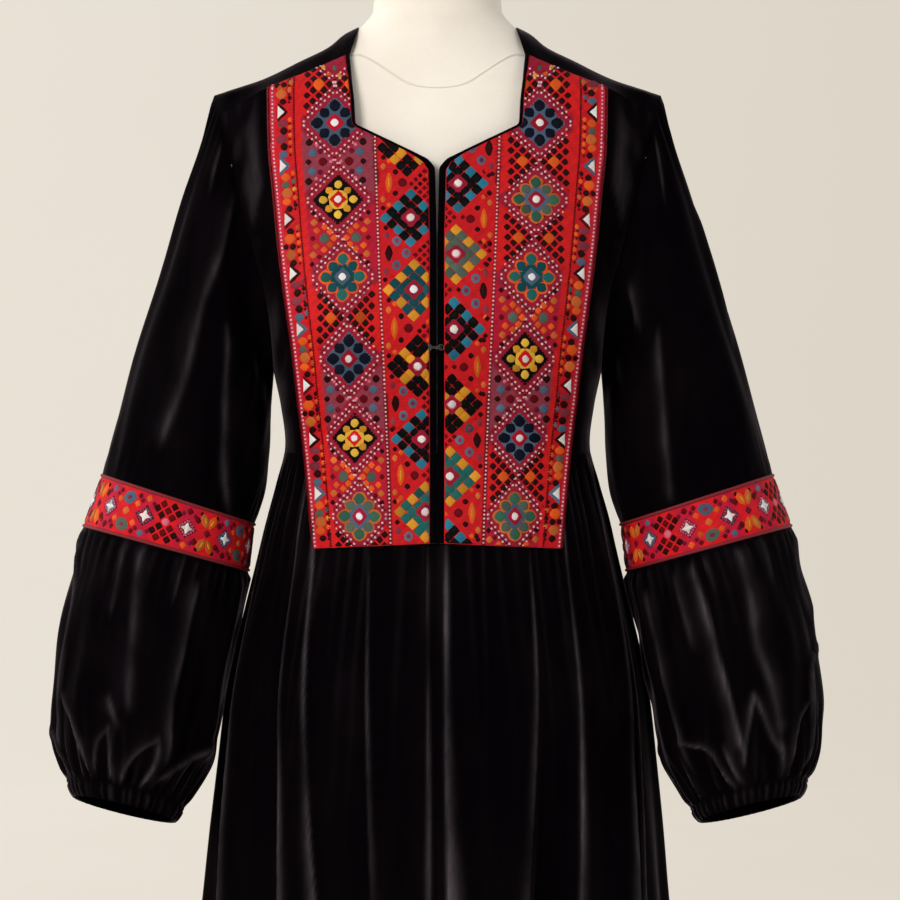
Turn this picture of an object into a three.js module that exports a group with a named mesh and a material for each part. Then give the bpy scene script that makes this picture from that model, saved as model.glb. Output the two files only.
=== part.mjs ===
// Embroidered velvet manteau on a limbless dress form with a round foot.
// Millimetres, +Z up. The front faces -Y and the wearer's left is +X.
// The origin is the middle of the foot's underside.
import * as THREE from 'three';

// Driving dimensions
const velvetThickness = 2;
const seamGap = 0.3;
const waistHeight = 1048;
const hemHeight = 240;
const underarmHeight = 1121;
const shoulderTipHeight = 1362;
const shoulderTipX = 196;
const neckPointX = 77;
const backNeckCentre = 1396;
const shoulderSeamGap = 0.5;
const shoulderSeamSlope = 0.45;
const backSeamX = 191; // where the back's last row below the shoulder meets the armhole
const slitHalfOpening = 1.75;
const slitTopHeight = 1297;
const slitClosedHeight = 1226;
const bibBottomOuter = 966;
const bibBottomCentre = 971;
const bibSeamOuter = 1363.4;
const bibLowerLevels = [1006, waistHeight];
const appliedClearance = 1.5; // air under what is sewn flat on the velvet
const bibThickness = 1.8;
const bindingThickness = 2.3;
const bindingWidth = 5.6;
const pipingHeight = 2.8;
const pipingProud = 1.1;
const pipingEdgeProud = 0.2;
const bandProud = 0.3;
const sleeveSeamGap = 0.8; // the sleeve's gathered head stands just off the armhole
const sleeveSteps = 22; // points round a sleeve, shared with the armhole
const seamTipStep = 2; // armhole step where the forward shoulder seam ends
const cornerStep = 5; // armhole step that the row through the neckline's corner meets
const armholeLean = 0.2; // drop for each unit outwards of the way a sleeve leaves the armhole
const skirtStepDegrees = 5;
const hookHeight = 1138;
const hookClearance = 0.2;
const footRadius = 190;
const poleRadius = 15;
const formBottom = 806;
const formSteps = 28;
const turnedSteps = 48;

// The garment's outer form from hem to neck: half width, depth of front and back, and how square
// each level is (2 is an ellipse). Above the shoulder tip the half width is the shoulder line's.
const bodySections = [
  { z: 240, halfWidth: 248, front: 190, back: 192, power: 2.1 },
  { z: 450, halfWidth: 224, front: 174, back: 177, power: 2.1 },
  { z: 654, halfWidth: 199, front: 156, back: 158, power: 2.1 },
  { z: 717, halfWidth: 194, front: 150, back: 151, power: 2.1 },
  { z: 778, halfWidth: 188, front: 143, back: 143, power: 2.1 },
  { z: 837, halfWidth: 182, front: 135, back: 134, power: 2.1 },
  { z: 875, halfWidth: 175, front: 129, back: 126, power: 2.1 },
  { z: 915, halfWidth: 166, front: 123, back: 116, power: 2.1 },
  { z: 945, halfWidth: 159, front: 118, back: 108, power: 2.1 },
  { z: 989, halfWidth: 149, front: 112, back: 97, power: 2.15 },
  { z: 1024, halfWidth: 139.5, front: 107, back: 86, power: 2.2 },
  { z: 1057, halfWidth: 134, front: 105, back: 80, power: 2.2 },
  { z: 1090, halfWidth: 138, front: 112, back: 84, power: 2.3 },
  { z: 1119, halfWidth: 144, front: 122, back: 88, power: 2.3 },
  { z: 1160, halfWidth: 150, front: 131, back: 92, power: 2.3 },
  { z: 1200, halfWidth: 159, front: 120, back: 95, power: 2.3 },
  { z: 1241, halfWidth: 171, front: 99, back: 96, power: 2.3 },
  { z: 1282, halfWidth: 182, front: 84, back: 93, power: 2.2 },
  { z: 1315, halfWidth: 193, front: 76, back: 86, power: 2.1 },
  { z: 1343, halfWidth: 200, front: 70, back: 76, power: 1.9 },
  { z: 1361, halfWidth: 198, front: 65, back: 70, power: 1.8 },
  { z: 1365, halfWidth: 187, front: 64, back: 69, power: 1.8 },
  { z: 1376, halfWidth: 154, front: 60, back: 66, power: 1.7 },
  { z: 1392, halfWidth: 121, front: 57, back: 63, power: 1.7 },
  { z: 1405, halfWidth: 95, front: 56, back: 61, power: 1.7 },
  { z: 1416, halfWidth: 82, front: 55, back: 60, power: 1.7 },
  { z: 1423, halfWidth: 68, front: 54, back: 58, power: 1.7 },
];

// Armhole seam: its distance from the middle on the front and on the back.
const armholeEdge = [
  { z: 1122, front: 143.4, back: 144 },
  { z: 1140, front: 144, back: 145.6 },
  { z: 1162, front: 146, back: 148 },
  { z: 1191, front: 150.5, back: 154 },
  { z: 1224, front: 160, back: 163 },
  { z: 1259, front: 169.5, back: 172.5 },
  { z: 1292, front: 177.5, back: 180 },
  { z: 1320, front: 186, back: 187 },
  { z: 1343, front: 190.5, back: 191 },
  { z: 1362, front: 196, back: 196 },
];

// Two rows of a front half, by the share of the way from slit to side: the neckline and on from its
// corner to the armhole, and the forward shoulder seam.
const cornerShare = 0.365;
const necklineShare = 0.05;
const frontCornerRow = [
  { share: 0, z: slitTopHeight },
  { share: necklineShare, z: 1305 },
  { share: cornerShare, z: 1334 },
  { share: 1, z: 1258.7 },
];
const frontSeamRow = [
  { share: cornerShare, z: 1395 },
  { share: 0.759, z: 1364.6 },
  { share: 1, z: 1342.9 },
];

// Outer edge of the embroidered bib.
const bibEdge = [
  { z: 960, x: 105.5 },
  { z: 1006, x: 109.6 },
  { z: 1050, x: 114 },
  { z: 1094, x: 119 },
  { z: 1138, x: 123.6 },
  { z: 1182, x: 129.8 },
  { z: 1226, x: 136 },
  { z: 1270, x: 141 },
  { z: 1314, x: 145.6 },
  { z: 1365, x: 147.4 },
];

// Rings of the sleeve, from the shoulder side to the body side. The depth is the half depth, the
// pitch in degrees lifts the front of the ring.
const upperSleeveRings = [
  { outerX: 209, outerZ: 1318, innerX: 145.6, innerZ: 1099, depth: 46, y: 1, pitch: 0 },
  { outerX: 223, outerZ: 1275, innerX: 146.6, innerZ: 1078, depth: 57, y: 0, pitch: 0 },
  { outerX: 241, outerZ: 1215, innerX: 147.8, innerZ: 1048, depth: 64, y: -1, pitch: 0 },
  { outerX: 267, outerZ: 1130, innerX: 151.5, innerZ: 1014, depth: 67, y: -3, pitch: 1 },
  { outerX: 294.4, outerZ: 1028, innerX: 161, innerZ: 985, depth: 70, y: -5, pitch: 2 },
];
const bandRings = [
  { outerX: 294.4, outerZ: 1028, innerX: 161, innerZ: 985, depth: 70, y: -5, pitch: 2 },
  { outerX: 310, outerZ: 984, innerX: 166, innerZ: 945, depth: 74, y: -7, pitch: 3 },
];
const lowerSleeveRings = [
  { outerX: 310, outerZ: 984, innerX: 166, innerZ: 945, depth: 74, y: -7, pitch: 3 },
  { outerX: 320, outerZ: 953, innerX: 170, innerZ: 922, depth: 76, y: -10, pitch: 5 },
  { outerX: 332.5, outerZ: 898, innerX: 178.5, innerZ: 877, depth: 78, y: -17, pitch: 8 },
  { outerX: 339, outerZ: 842, innerX: 187, innerZ: 830, depth: 76, y: -26, pitch: 10 },
  { outerX: 338.5, outerZ: 812, innerX: 192, innerZ: 802, depth: 74, y: -31, pitch: 11 },
  { outerX: 334, outerZ: 789, innerX: 198, innerZ: 776, depth: 68, y: -35, pitch: 12 },
  { outerX: 321.6, outerZ: 764, innerX: 220, innerZ: 740, depth: 50, y: -40, pitch: 13 },
];
const cuffRings = [
  { outerX: 321.6, outerZ: 764, innerX: 220, innerZ: 740, depth: 50, y: -40, pitch: 13 },
  { outerX: 316, outerZ: 749, innerX: 227, innerZ: 728, depth: 45, y: -42, pitch: 13 },
];

// Ridges of the skirt's folds: degrees round from the centre front towards +X where each one starts
// and at the hem, its depth there, its half width in degrees, and the height where it starts.
const skirtFolds = [
  { top: -164, hem: -163, depth: 15, width: 8, start: 1040 },
  { top: -144, hem: -142, depth: 12, width: 7, start: 1030 },
  { top: -122, hem: -121, depth: 16, width: 8, start: 1044 },
  { top: -101, hem: -99, depth: 13, width: 7, start: 1046 },
  { top: -86, hem: -77, depth: 11, width: 6, start: 1040 },
  { top: -70, hem: -52, depth: 16, width: 7, start: 1046 },
  { top: -46, hem: -33, depth: 14, width: 8, start: 975 },
  { top: -22, hem: -13, depth: 12, width: 6, start: 962 },
  { top: 0, hem: 0, depth: 12, width: 5.5, start: 964 },
  { top: 30, hem: 20, depth: 14, width: 7, start: 962 },
  { top: 44, hem: 35, depth: 10, width: 6, start: 970 },
  { top: 66, hem: 54, depth: 16, width: 7, start: 1046 },
  { top: 84, hem: 77, depth: 12, width: 6.5, start: 1038 },
  { top: 101, hem: 98, depth: 14, width: 7, start: 1046 },
  { top: 119, hem: 117, depth: 12, width: 8, start: 1040 },
  { top: 140, hem: 139, depth: 16, width: 7.5, start: 1034 },
  { top: 160, hem: 158, depth: 12, width: 7, start: 1044 },
  { top: 178, hem: 178, depth: 15, width: 8, start: 1036 },
];
const foldMean = 0.42; // share of a ridge's depth taken off around it, so that the girth stays
const foldMeanSpread = 1.9; // how much wider than the ridge that is taken off
const foldFall = 0.8; // how soon a ridge reaches its depth on the way down

// Air between the velvet's inside and the form, and the form's own neck above the shoulders.
const formClearance = [
  { z: 806, air: 34 },
  { z: 900, air: 20 },
  { z: 1000, air: 13 },
  { z: 1060, air: 10 },
  { z: 1119, air: 6 },
  { z: 1160, air: 3 },
  { z: 1241, air: 5 },
  { z: 1315, air: 7 },
  { z: 1343, air: 7 },
  { z: 1361, air: 5.4 },
  { z: 1376, air: 4.1 },
  { z: 1392, air: 3.7 },
  { z: 1423, air: 2.6 },
];
const formNeck = [
  { z: 1419.5, halfWidth: 65, front: 56, back: 56, y: 2 },
  { z: 1431, halfWidth: 59.5, front: 54, back: 55, y: 3 },
  { z: 1446, halfWidth: 56, front: 52.5, back: 54, y: 4 },
  { z: 1472, halfWidth: 54.5, front: 52, back: 53, y: 5 },
  { z: 1486, halfWidth: 52, front: 50, back: 51, y: 5 },
  { z: 1491, halfWidth: 45, front: 43, back: 44, y: 5 },
];

const colours = {
  velvet: '#171215',
  embroidery: '#b03a3c',
  piping: '#7c1220',
  linen: '#ddd3c0',
  steel: '#8f8f93',
  darkSteel: '#3a3a3d',
};

// Slope of a table's column at one row: none at a turning point, else the neighbours' harmonic mean.
function slopeAt(rows, by, column, index) {
  const before = rows[index - 1];
  const here = rows[index];
  const after = rows[index + 1];
  const left = before ? (here[column] - before[column]) / (here[by] - before[by]) : null;
  const right = after ? (after[column] - here[column]) / (after[by] - here[by]) : null;
  if (left === null) {
    return right;
  }
  if (right === null) {
    return left;
  }
  return left * right <= 0 ? 0 : (2 * left * right) / (left + right);
}

// The two rows either side of a value, and the share of the way between them.
function between(rows, by, at) {
  const last = rows.length - 1;
  const value = THREE.MathUtils.clamp(at, rows[0][by], rows[last][by]);
  let low = 0;
  while (low < last - 1 && value > rows[low + 1][by]) {
    low += 1;
  }
  const span = rows[low + 1][by] - rows[low][by];
  return { low, span, share: (value - rows[low][by]) / span };
}

// Smooth value of a table's column: a cubic between rows that never passes their values.
function smooth(rows, by, column, at) {
  const { low, span, share } = between(rows, by, at);
  const start = rows[low][column];
  const end = rows[low + 1][column];
  const startSlope = slopeAt(rows, by, column, low) * span;
  const endSlope = slopeAt(rows, by, column, low + 1) * span;
  const square = share * share;
  const cube = square * share;
  return (
    start * (2 * cube - 3 * square + 1) +
    startSlope * (cube - 2 * square + share) +
    end * (3 * square - 2 * cube) +
    endSlope * (cube - square)
  );
}

// Straight-line value of a table's column.
function straight(rows, by, column, at) {
  const { low, share } = between(rows, by, at);
  return THREE.MathUtils.lerp(rows[low][column], rows[low + 1][column], share);
}

function sectionAt(z) {
  return {
    halfWidth: smooth(bodySections, 'z', 'halfWidth', z),
    front: smooth(bodySections, 'z', 'front', z),
    back: smooth(bodySections, 'z', 'back', z),
    power: smooth(bodySections, 'z', 'power', z),
  };
}

// Point of the garment's outer form at a place across it. The side is -1 in front and 1 behind.
function bodyPoint(x, z, side) {
  const section = sectionAt(z);
  const depth = side < 0 ? section.front : section.back;
  const share = Math.min(Math.abs(x) / section.halfWidth, 1);
  const y = depth * (1 - share ** section.power) ** (1 / section.power);
  return new THREE.Vector3(x, side * Math.max(y, seamGap / 2), z);
}

// Point of the outer form by the angle round it, from the centre front towards +X.
function roundPoint(degrees, z) {
  const section = sectionAt(z);
  const angle = THREE.MathUtils.degToRad(degrees);
  const sine = Math.sin(angle);
  const cosine = Math.cos(angle);
  const depth = cosine > 0 ? section.front : section.back;
  const x = section.halfWidth * Math.sign(sine) * Math.abs(sine) ** (2 / section.power);
  const y = -depth * Math.sign(cosine) * Math.abs(cosine) ** (2 / section.power);
  return new THREE.Vector3(x, y, z);
}

function bodyLevel(x, y, z) {
  const section = sectionAt(z);
  const depth = y < 0 ? section.front : section.back;
  return (Math.abs(x) / section.halfWidth) ** section.power + (Math.abs(y) / depth) ** section.power;
}

// Outward direction of the outer form, from how its level changes along X, Y and Z.
function bodyNormal({ x, y, z }) {
  const reach = 0.5;
  return new THREE.Vector3(
    bodyLevel(x + reach, y, z) - bodyLevel(x - reach, y, z),
    bodyLevel(x, y + reach, z) - bodyLevel(x, y - reach, z),
    bodyLevel(x, y, z + reach) - bodyLevel(x, y, z - reach),
  ).normalize();
}

function movedOut(point, distance) {
  return point.clone().addScaledVector(bodyNormal(point), distance);
}

// Net of points for each row and column.
function net(rows, columns, pointAt) {
  return rows.map((row, rowIndex) => columns.map((column) => pointAt(row, column, rowIndex)));
}

function moveNet(points, distance) {
  return points.map((row) => row.map((point) => movedOut(point, distance)));
}

// Turns all faces round when the solid they close has a negative volume.
function facingOut(positions, faces) {
  const corner = (index) => new THREE.Vector3().fromArray(positions, index * 3);
  let volume = 0;
  faces.forEach(([a, b, c]) => {
    volume += corner(a).dot(corner(b).cross(corner(c)));
  });
  const turned = volume < 0 ? faces.map(([a, b, c]) => [a, c, b]) : faces;
  const geometry = new THREE.BufferGeometry();
  geometry.setAttribute('position', new THREE.Float32BufferAttribute(positions, 3));
  geometry.setIndex(turned.flat());
  geometry.computeVertexNormals();
  return geometry;
}

// Closed wall between an outer and an inner net. A round wall joins its last column to its first,
// and cells that `isOpen` names are left out.
function wall(outer, inner, { round = false, isOpen = () => false } = {}) {
  const positions = [];
  const numbers = new Map();
  const numberOf = (layer, row, column) => {
    const wrapped = column % outer[0].length;
    const key = `${layer} ${row} ${wrapped}`;
    if (!numbers.has(key)) {
      const point = (layer === 0 ? outer : inner)[row][wrapped];
      numbers.set(key, positions.length / 3);
      positions.push(point.x, point.y, point.z);
    }
    return numbers.get(key);
  };
  const skin = [];
  const lastColumn = outer[0].length - (round ? 0 : 1);
  for (let row = 0; row < outer.length - 1; row += 1) {
    for (let column = 0; column < lastColumn; column += 1) {
      if (!isOpen(row, column)) {
        const corners = [[row, column], [row, column + 1], [row + 1, column + 1], [row + 1, column]];
        skin.push([corners[0], corners[1], corners[2]], [corners[0], corners[2], corners[3]]);
      }
    }
  }
  const faces = [];
  const used = new Map();
  skin.forEach((triangle) => {
    const front = triangle.map(([row, column]) => numberOf(0, row, column));
    const behind = triangle.map(([row, column]) => numberOf(1, row, column));
    faces.push(front, [behind[0], behind[2], behind[1]]);
    [0, 1, 2].forEach((side) => {
      const next = (side + 1) % 3;
      used.set(`${front[side]} ${front[next]}`, [front[side], front[next], behind[side], behind[next]]);
    });
  });
  used.forEach(([from, to, fromBehind, toBehind]) => {
    if (!used.has(`${to} ${from}`)) {
      faces.push([to, from, fromBehind], [to, fromBehind, toBehind]);
    }
  });
  return facingOut(positions, faces);
}

// Closed solid through rings of points, with a flat cap at each end.
function ringSolid(rings) {
  const steps = rings[0].length;
  const positions = rings.flat().flatMap((point) => [point.x, point.y, point.z]);
  const faces = [];
  for (let ring = 0; ring < rings.length - 1; ring += 1) {
    for (let step = 0; step < steps; step += 1) {
      const next = (step + 1) % steps;
      const low = ring * steps;
      const high = low + steps;
      faces.push([low + step, low + next, high + next], [low + step, high + next, high + step]);
    }
  }
  const top = (rings.length - 1) * steps;
  for (let step = 1; step < steps - 1; step += 1) {
    faces.push([0, step + 1, step], [top, top + step, top + step + 1]);
  }
  return facingOut(positions, faces);
}

const manteau = new THREE.Group();

function addPiece(name, geometry, colour, roughness = 0.9, metalness = 0) {
  const material = new THREE.MeshStandardMaterial({ color: colour, roughness, metalness });
  const mesh = new THREE.Mesh(geometry, material);
  mesh.name = name;
  manteau.add(mesh);
  return mesh;
}

// Heights round the armhole, from the shoulder tip (0) to the underarm (half the steps).
function armholeHeight(step) {
  const middle = (shoulderTipHeight + underarmHeight) / 2;
  const half = (shoulderTipHeight - underarmHeight) / 2;
  return middle + half * Math.cos((2 * Math.PI * step) / sleeveSteps);
}

// Side edge of a bodice panel: the side seam up to the underarm, then the armhole.
function panelEdge(z, side) {
  const atSeam = z <= underarmHeight + seamGap;
  return atSeam ? sectionAt(z).halfWidth : smooth(armholeEdge, 'z', side < 0 ? 'front' : 'back', z);
}

function slitEdge(z) {
  const share = THREE.MathUtils.clamp((z - slitClosedHeight) / (slitTopHeight - slitClosedHeight), 0, 1);
  return THREE.MathUtils.lerp(seamGap, slitHalfOpening, share);
}

// Heights of the bodice's rows where they meet the side seam and the armhole.
const bodiceBase = waistHeight + seamGap / 2;
const lowBodiceLevel = 1084;
const bodiceLevels = [bodiceBase, lowBodiceLevel, underarmHeight];
for (let step = sleeveSteps / 2 - 1; step >= seamTipStep; step -= 1) {
  bodiceLevels.push(armholeHeight(step));
}
const cornerLevel = armholeHeight(cornerStep);
const seamTipLevel = armholeHeight(seamTipStep);
const lowerRows = bodiceLevels.filter((z) => z < cornerLevel + 1).map((z) => ({
  rise: (z - bodiceBase) / (cornerLevel - bodiceBase),
}));
const upperRows = bodiceLevels.filter((z) => z > cornerLevel + 1).map((z) => ({
  rise: (z - cornerLevel) / (seamTipLevel - cornerLevel),
  upper: true,
}));

// Columns that front and back share along the forward shoulder seam.
const shoulderColumns = [cornerShare, 0.46, 0.57, 0.68, 0.79, 0.88, 0.95, 1];
const frontColumns = [0, necklineShare, 0.125, 0.2, 0.28, ...shoulderColumns];
const backHalfColumns = [0.12, 0.24, ...shoulderColumns];
const bibSideColumns = [0.62, 0.75, 0.88, 1];

// A half front as a layer: where it starts and ends across, its two rows, the neckline's corner and
// the neck point above it, and the height it rises from.
function velvetFront() {
  const end = (z) => panelEdge(z, -1);
  const cornerZ = straight(frontCornerRow, 'share', 'z', cornerShare);
  const cornerX = THREE.MathUtils.lerp(slitEdge(cornerZ), end(cornerZ), cornerShare);
  return {
    start: slitEdge,
    end,
    cornerRow: frontCornerRow,
    seamRow: frontSeamRow,
    cornerShare,
    corner: new THREE.Vector2(cornerX, cornerZ),
    neck: new THREE.Vector2(neckPointX, straight(frontSeamRow, 'share', 'z', cornerShare)),
    base: bodiceBase,
  };
}
const velvetLayer = velvetFront();

// Flat place of a layer's point: rows below the corner rise from the base, the others from the corner.
function layerPlace(layer, row, share) {
  const cornerZ = straight(layer.cornerRow, 'share', 'z', share);
  const from = row.upper ? cornerZ : layer.base;
  const to = row.upper ? straight(layer.seamRow, 'share', 'z', share) : cornerZ;
  const z = THREE.MathUtils.lerp(from, to, row.rise) + (row.shift ?? 0);
  if (!row.upper) {
    return new THREE.Vector2(THREE.MathUtils.lerp(layer.start(z), layer.end(z), share), z);
  }
  const { corner, neck } = layer;
  const up = THREE.MathUtils.clamp((z - corner.y) / (neck.y - corner.y), 0, 1);
  const neckSide = THREE.MathUtils.lerp(corner.x, neck.x, up);
  const across = (share - layer.cornerShare) / (1 - layer.cornerShare);
  return new THREE.Vector2(THREE.MathUtils.lerp(neckSide, layer.end(z), across), z);
}

function layerPoint(layer, row, share) {
  const place = layerPlace(layer, row, share);
  return bodyPoint(place.x, place.y, -1);
}

// Net of a layer and the cells left out of it, beside the neck.
function layerNet(layer, rows, columns) {
  const least = (row) => (row.upper ? layer.cornerShare : 0);
  const outer = net(rows, columns, (row, share) => layerPoint(layer, row, Math.max(share, least(row))));
  const firstUpper = rows.findIndex((row) => row.upper);
  const cornerColumn = columns.indexOf(layer.cornerShare);
  const isOpen = (row, column) => row >= firstUpper - 1 && column < cornerColumn;
  return { outer, isOpen };
}

// The same net for the other side of the body.
function mirrored(points, wearerSide) {
  return points.map((row) => row.map((point) => new THREE.Vector3(point.x * wearerSide, point.y, point.z)));
}

function addFrontHalf(name, wearerSide) {
  const lastRow = { ...upperRows[upperRows.length - 1], shift: -shoulderSeamGap / 2 };
  const rows = [...lowerRows, ...upperRows.slice(0, -1), lastRow];
  const { outer, isOpen } = layerNet(velvetLayer, rows, frontColumns);
  const sides = mirrored(outer, wearerSide);
  addPiece(`bodice_front_${name}`, wall(sides, moveNet(sides, -velvetThickness), { isOpen }), colours.velvet);
}

// Height of the shoulder line above a distance from the middle, by halving from its widest level up.
const widestShoulder = 1343;
function shoulderLine(x) {
  const halvings = 30;
  let low = widestShoulder;
  let high = bodySections[bodySections.length - 1].z;
  for (let pass = 0; pass < halvings; pass += 1) {
    const middle = (low + high) / 2;
    if (sectionAt(middle).halfWidth > x) {
      low = middle;
    } else {
      high = middle;
    }
  }
  return (low + high) / 2;
}

// Rows of the back that pass over the shoulder: the side of the body, how far the neck edge and the
// armhole edge lie from the middle, and the share of the drop to the last row on that side.
const overShoulder = [
  { side: 1, neckX: 70, tipX: 194.7, drop: 0.26 },
  { side: -1, neckX: 69.5, tipX: shoulderTipX, drop: 0 },
  { side: -1, neckX: 72, tipX: 194.6, drop: 0.26 },
];
const backDrop = shoulderTipHeight - seamTipLevel;

// Top of the back below the shoulder, which curves down to the middle of the neckline.
function backTop(column) {
  const share = Math.abs(column);
  if (share >= cornerShare) {
    return shoulderLine(share * backSeamX) - backDrop;
  }
  const atNeck = shoulderLine(cornerShare * backSeamX) - backDrop;
  return THREE.MathUtils.lerp(backNeckCentre, atNeck, (share / cornerShare) ** 2);
}

function backPoint(z, column) {
  const rise = (z - bodiceBase) / (seamTipLevel - bodiceBase);
  const height = THREE.MathUtils.lerp(bodiceBase, backTop(column), rise);
  return bodyPoint(column * panelEdge(height, 1), height, 1);
}

function shoulderPoint(row, column) {
  const across = (Math.abs(column) - cornerShare) / (1 - cornerShare);
  const x = THREE.MathUtils.lerp(row.neckX, row.tipX, across);
  const ridge = shoulderLine(x);
  const end = row.side < 0 ? straight(frontSeamRow, 'share', 'z', Math.abs(column)) : ridge - backDrop;
  const point = bodyPoint(x, THREE.MathUtils.lerp(ridge, end, row.drop), row.side);
  point.x *= Math.sign(column);
  return point;
}

function addBack() {
  const columns = [...backHalfColumns.map((share) => -share).reverse(), 0, ...backHalfColumns];
  const outer = net(bodiceLevels, columns, backPoint);
  const atNeck = (column) => Math.abs(column) < cornerShare;
  overShoulder.forEach((row) => {
    outer.push(columns.map((column) => shoulderPoint(row, atNeck(column) ? cornerShare : column)));
  });
  const seam = { rise: 1, upper: true, shift: shoulderSeamGap / 2 };
  outer.push(columns.map((column) => {
    const point = layerPoint(velvetLayer, seam, Math.max(Math.abs(column), cornerShare));
    point.x *= Math.sign(column);
    return point;
  }));
  const isOpen = (row, column) => row >= bodiceLevels.length - 1
    && (atNeck(columns[column]) || atNeck(columns[column + 1]));
  addPiece('bodice_back', wall(outer, moveNet(outer, -velvetThickness), { isOpen }), colours.velvet);
}

// Outline of the neck and slit edge on one half, from the bib's bottom up to the shoulder seam.
const necklineColumns = [necklineShare, 0.2, cornerShare];
function neckOutline() {
  const below = [bibBottomCentre, bibLowerLevels[0]].map((z) => new THREE.Vector2(slitEdge(z), z));
  const slit = lowerRows.map((row) => layerPlace(velvetLayer, row, 0));
  const neckline = necklineColumns.map((share) => layerPlace(velvetLayer, { rise: 1 }, share));
  const side = upperRows.map((row) => layerPlace(velvetLayer, row, cornerShare));
  side[side.length - 1].y -= shoulderSeamGap;
  return [...below, ...slit, ...neckline, ...side];
}

// A line beside another on a flat pattern, towards the cloth, mitred at its corners.
function besideLine(line, distance) {
  const sideways = (from, to) => new THREE.Vector2(to.y - from.y, from.x - to.x).normalize();
  return line.map((point, index) => {
    const before = sideways(line[Math.max(index - 1, 0)], line[Math.max(index, 1)]);
    const lastStart = Math.min(index, line.length - 2);
    const after = sideways(line[lastStart], line[lastStart + 1]);
    const mitre = before.clone().add(after).divideScalar(1 + before.dot(after));
    return point.clone().addScaledVector(mitre, distance);
  });
}

function addBinding(name, wearerSide) {
  const edge = neckOutline();
  const seam = besideLine(edge, bindingWidth);
  seam[seam.length - 1].y -= bindingWidth * shoulderSeamSlope;
  const flat = edge.map((point, index) => [point, seam[index]]);
  const onBody = flat.map((pair) => pair.map((place) => bodyPoint(place.x, place.y, -1)));
  const base = mirrored(onBody, wearerSide);
  const outer = moveNet(base, appliedClearance + bindingThickness);
  addPiece(`binding_${name}`, wall(outer, moveNet(base, appliedClearance)), colours.velvet);
}

// Share of the way across the front where the bib's outer edge lies.
const bibOuterShare = 0.79;

// The bib as a layer: from beside the binding to its own outer edge, up to the shoulder seam.
function bibLayer() {
  const width = bindingWidth + seamGap;
  const beside = besideLine(neckOutline(), width);
  const neck = beside[beside.length - 1];
  neck.y -= width * shoulderSeamSlope;
  const start = (z) => slitEdge(z) + width;
  const end = (z) => straight(bibEdge, 'z', 'x', z);
  const shareOf = (point) => (point.x - start(point.y)) / (end(point.y) - start(point.y));
  const neckline = beside.slice(-upperRows.length - necklineColumns.length - 1, -upperRows.length);
  const corner = neckline[neckline.length - 1];
  const outerCorner = straight(frontCornerRow, 'share', 'z', bibOuterShare);
  const cornerRow = neckline.map((point) => ({ share: Math.max(shareOf(point), 0), z: point.y }));
  cornerRow[0].share = 0;
  cornerRow.push({ share: 1, z: outerCorner });
  const seamRow = [{ share: shareOf(corner), z: neck.y }, { share: 1, z: bibSeamOuter }];
  return { start, end, cornerRow, seamRow, cornerShare: shareOf(corner), corner, neck, base: waistHeight };
}

function addBib(name, wearerSide) {
  const layer = bibLayer();
  const neckColumns = layer.cornerRow.slice(0, -1).map((row) => row.share);
  const columns = neckColumns.flatMap((share, index) => {
    const halfway = (neckColumns[index - 1] + share) / 2;
    return index > 1 ? [halfway, share] : [share];
  });
  columns.push(...bibSideColumns);
  const { outer, isOpen } = layerNet(layer, [...lowerRows, ...upperRows], columns);
  const bottom = (share) => THREE.MathUtils.lerp(bibBottomCentre, bibBottomOuter, share);
  const hanging = [bottom, ...bibLowerLevels.map((z) => () => z)];
  const lower = net(hanging, columns, (level, share) => {
    const z = level(share);
    return bodyPoint(THREE.MathUtils.lerp(layer.start(z), layer.end(z), share), z, -1);
  });
  const base = mirrored([...lower, ...outer.slice(1)], wearerSide);
  const options = { isOpen: (row, column) => isOpen(row - lower.length + 1, column) };
  const front = moveNet(base, appliedClearance + bibThickness);
  addPiece(`bib_${name}`, wall(front, moveNet(base, appliedClearance), options), colours.embroidery);
}

// How far the skirt's folds stand out at an angle and height.
function foldReach(degrees, z) {
  let reach = 0;
  skirtFolds.forEach((fold) => {
    const drop = THREE.MathUtils.clamp((fold.start - z) / (fold.start - hemHeight), 0, 1);
    const fallen = drop ** foldFall;
    const middle = THREE.MathUtils.lerp(fold.top, fold.hem, fallen);
    const apart = Math.abs(((degrees - middle + 540) % 360) - 180) / fold.width;
    const around = foldMean * Math.exp(-((apart / foldMeanSpread) ** 4));
    reach += fold.depth * fallen * (Math.exp(-apart * apart) - around);
  });
  return reach;
}

const skirtLevels = [waistHeight - seamGap / 2, 1006, 966, 905, 837, 717, 560, 400, hemHeight];

// A skirt panel between two angles, its side edges drawn in by half a seam gap.
function addSkirtPanel(name, from, to) {
  const steps = Math.round((to - from) / skirtStepDegrees);
  const columns = Array.from({ length: steps + 1 }, (_, step) => from + step * skirtStepDegrees);
  const shape = (extra) => net(skirtLevels, columns, (z, degrees) => {
    const point = movedOut(roundPoint(degrees, z), foldReach(degrees, z) + extra);
    if (degrees === from || degrees === to) {
      const inward = Math.sign((from + to) / 2 - degrees);
      const tangent = roundPoint(degrees + inward, z).sub(roundPoint(degrees, z)).normalize();
      point.addScaledVector(tangent, seamGap / 2);
    }
    return point;
  });
  addPiece(name, wall(shape(0), shape(-velvetThickness)), colours.velvet);
}

function ringAxes(ring) {
  const pitch = THREE.MathUtils.degToRad(ring.pitch);
  const centre = new THREE.Vector3((ring.outerX + ring.innerX) / 2, ring.y, (ring.outerZ + ring.innerZ) / 2);
  const across = new THREE.Vector3((ring.outerX - ring.innerX) / 2, 0, (ring.outerZ - ring.innerZ) / 2);
  const deep = new THREE.Vector3(0, -Math.cos(pitch), Math.sin(pitch)).multiplyScalar(ring.depth);
  const down = across.clone().cross(deep).normalize();
  if (down.z > 0) {
    down.negate();
  }
  return { centre, across, deep, down };
}

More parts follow.
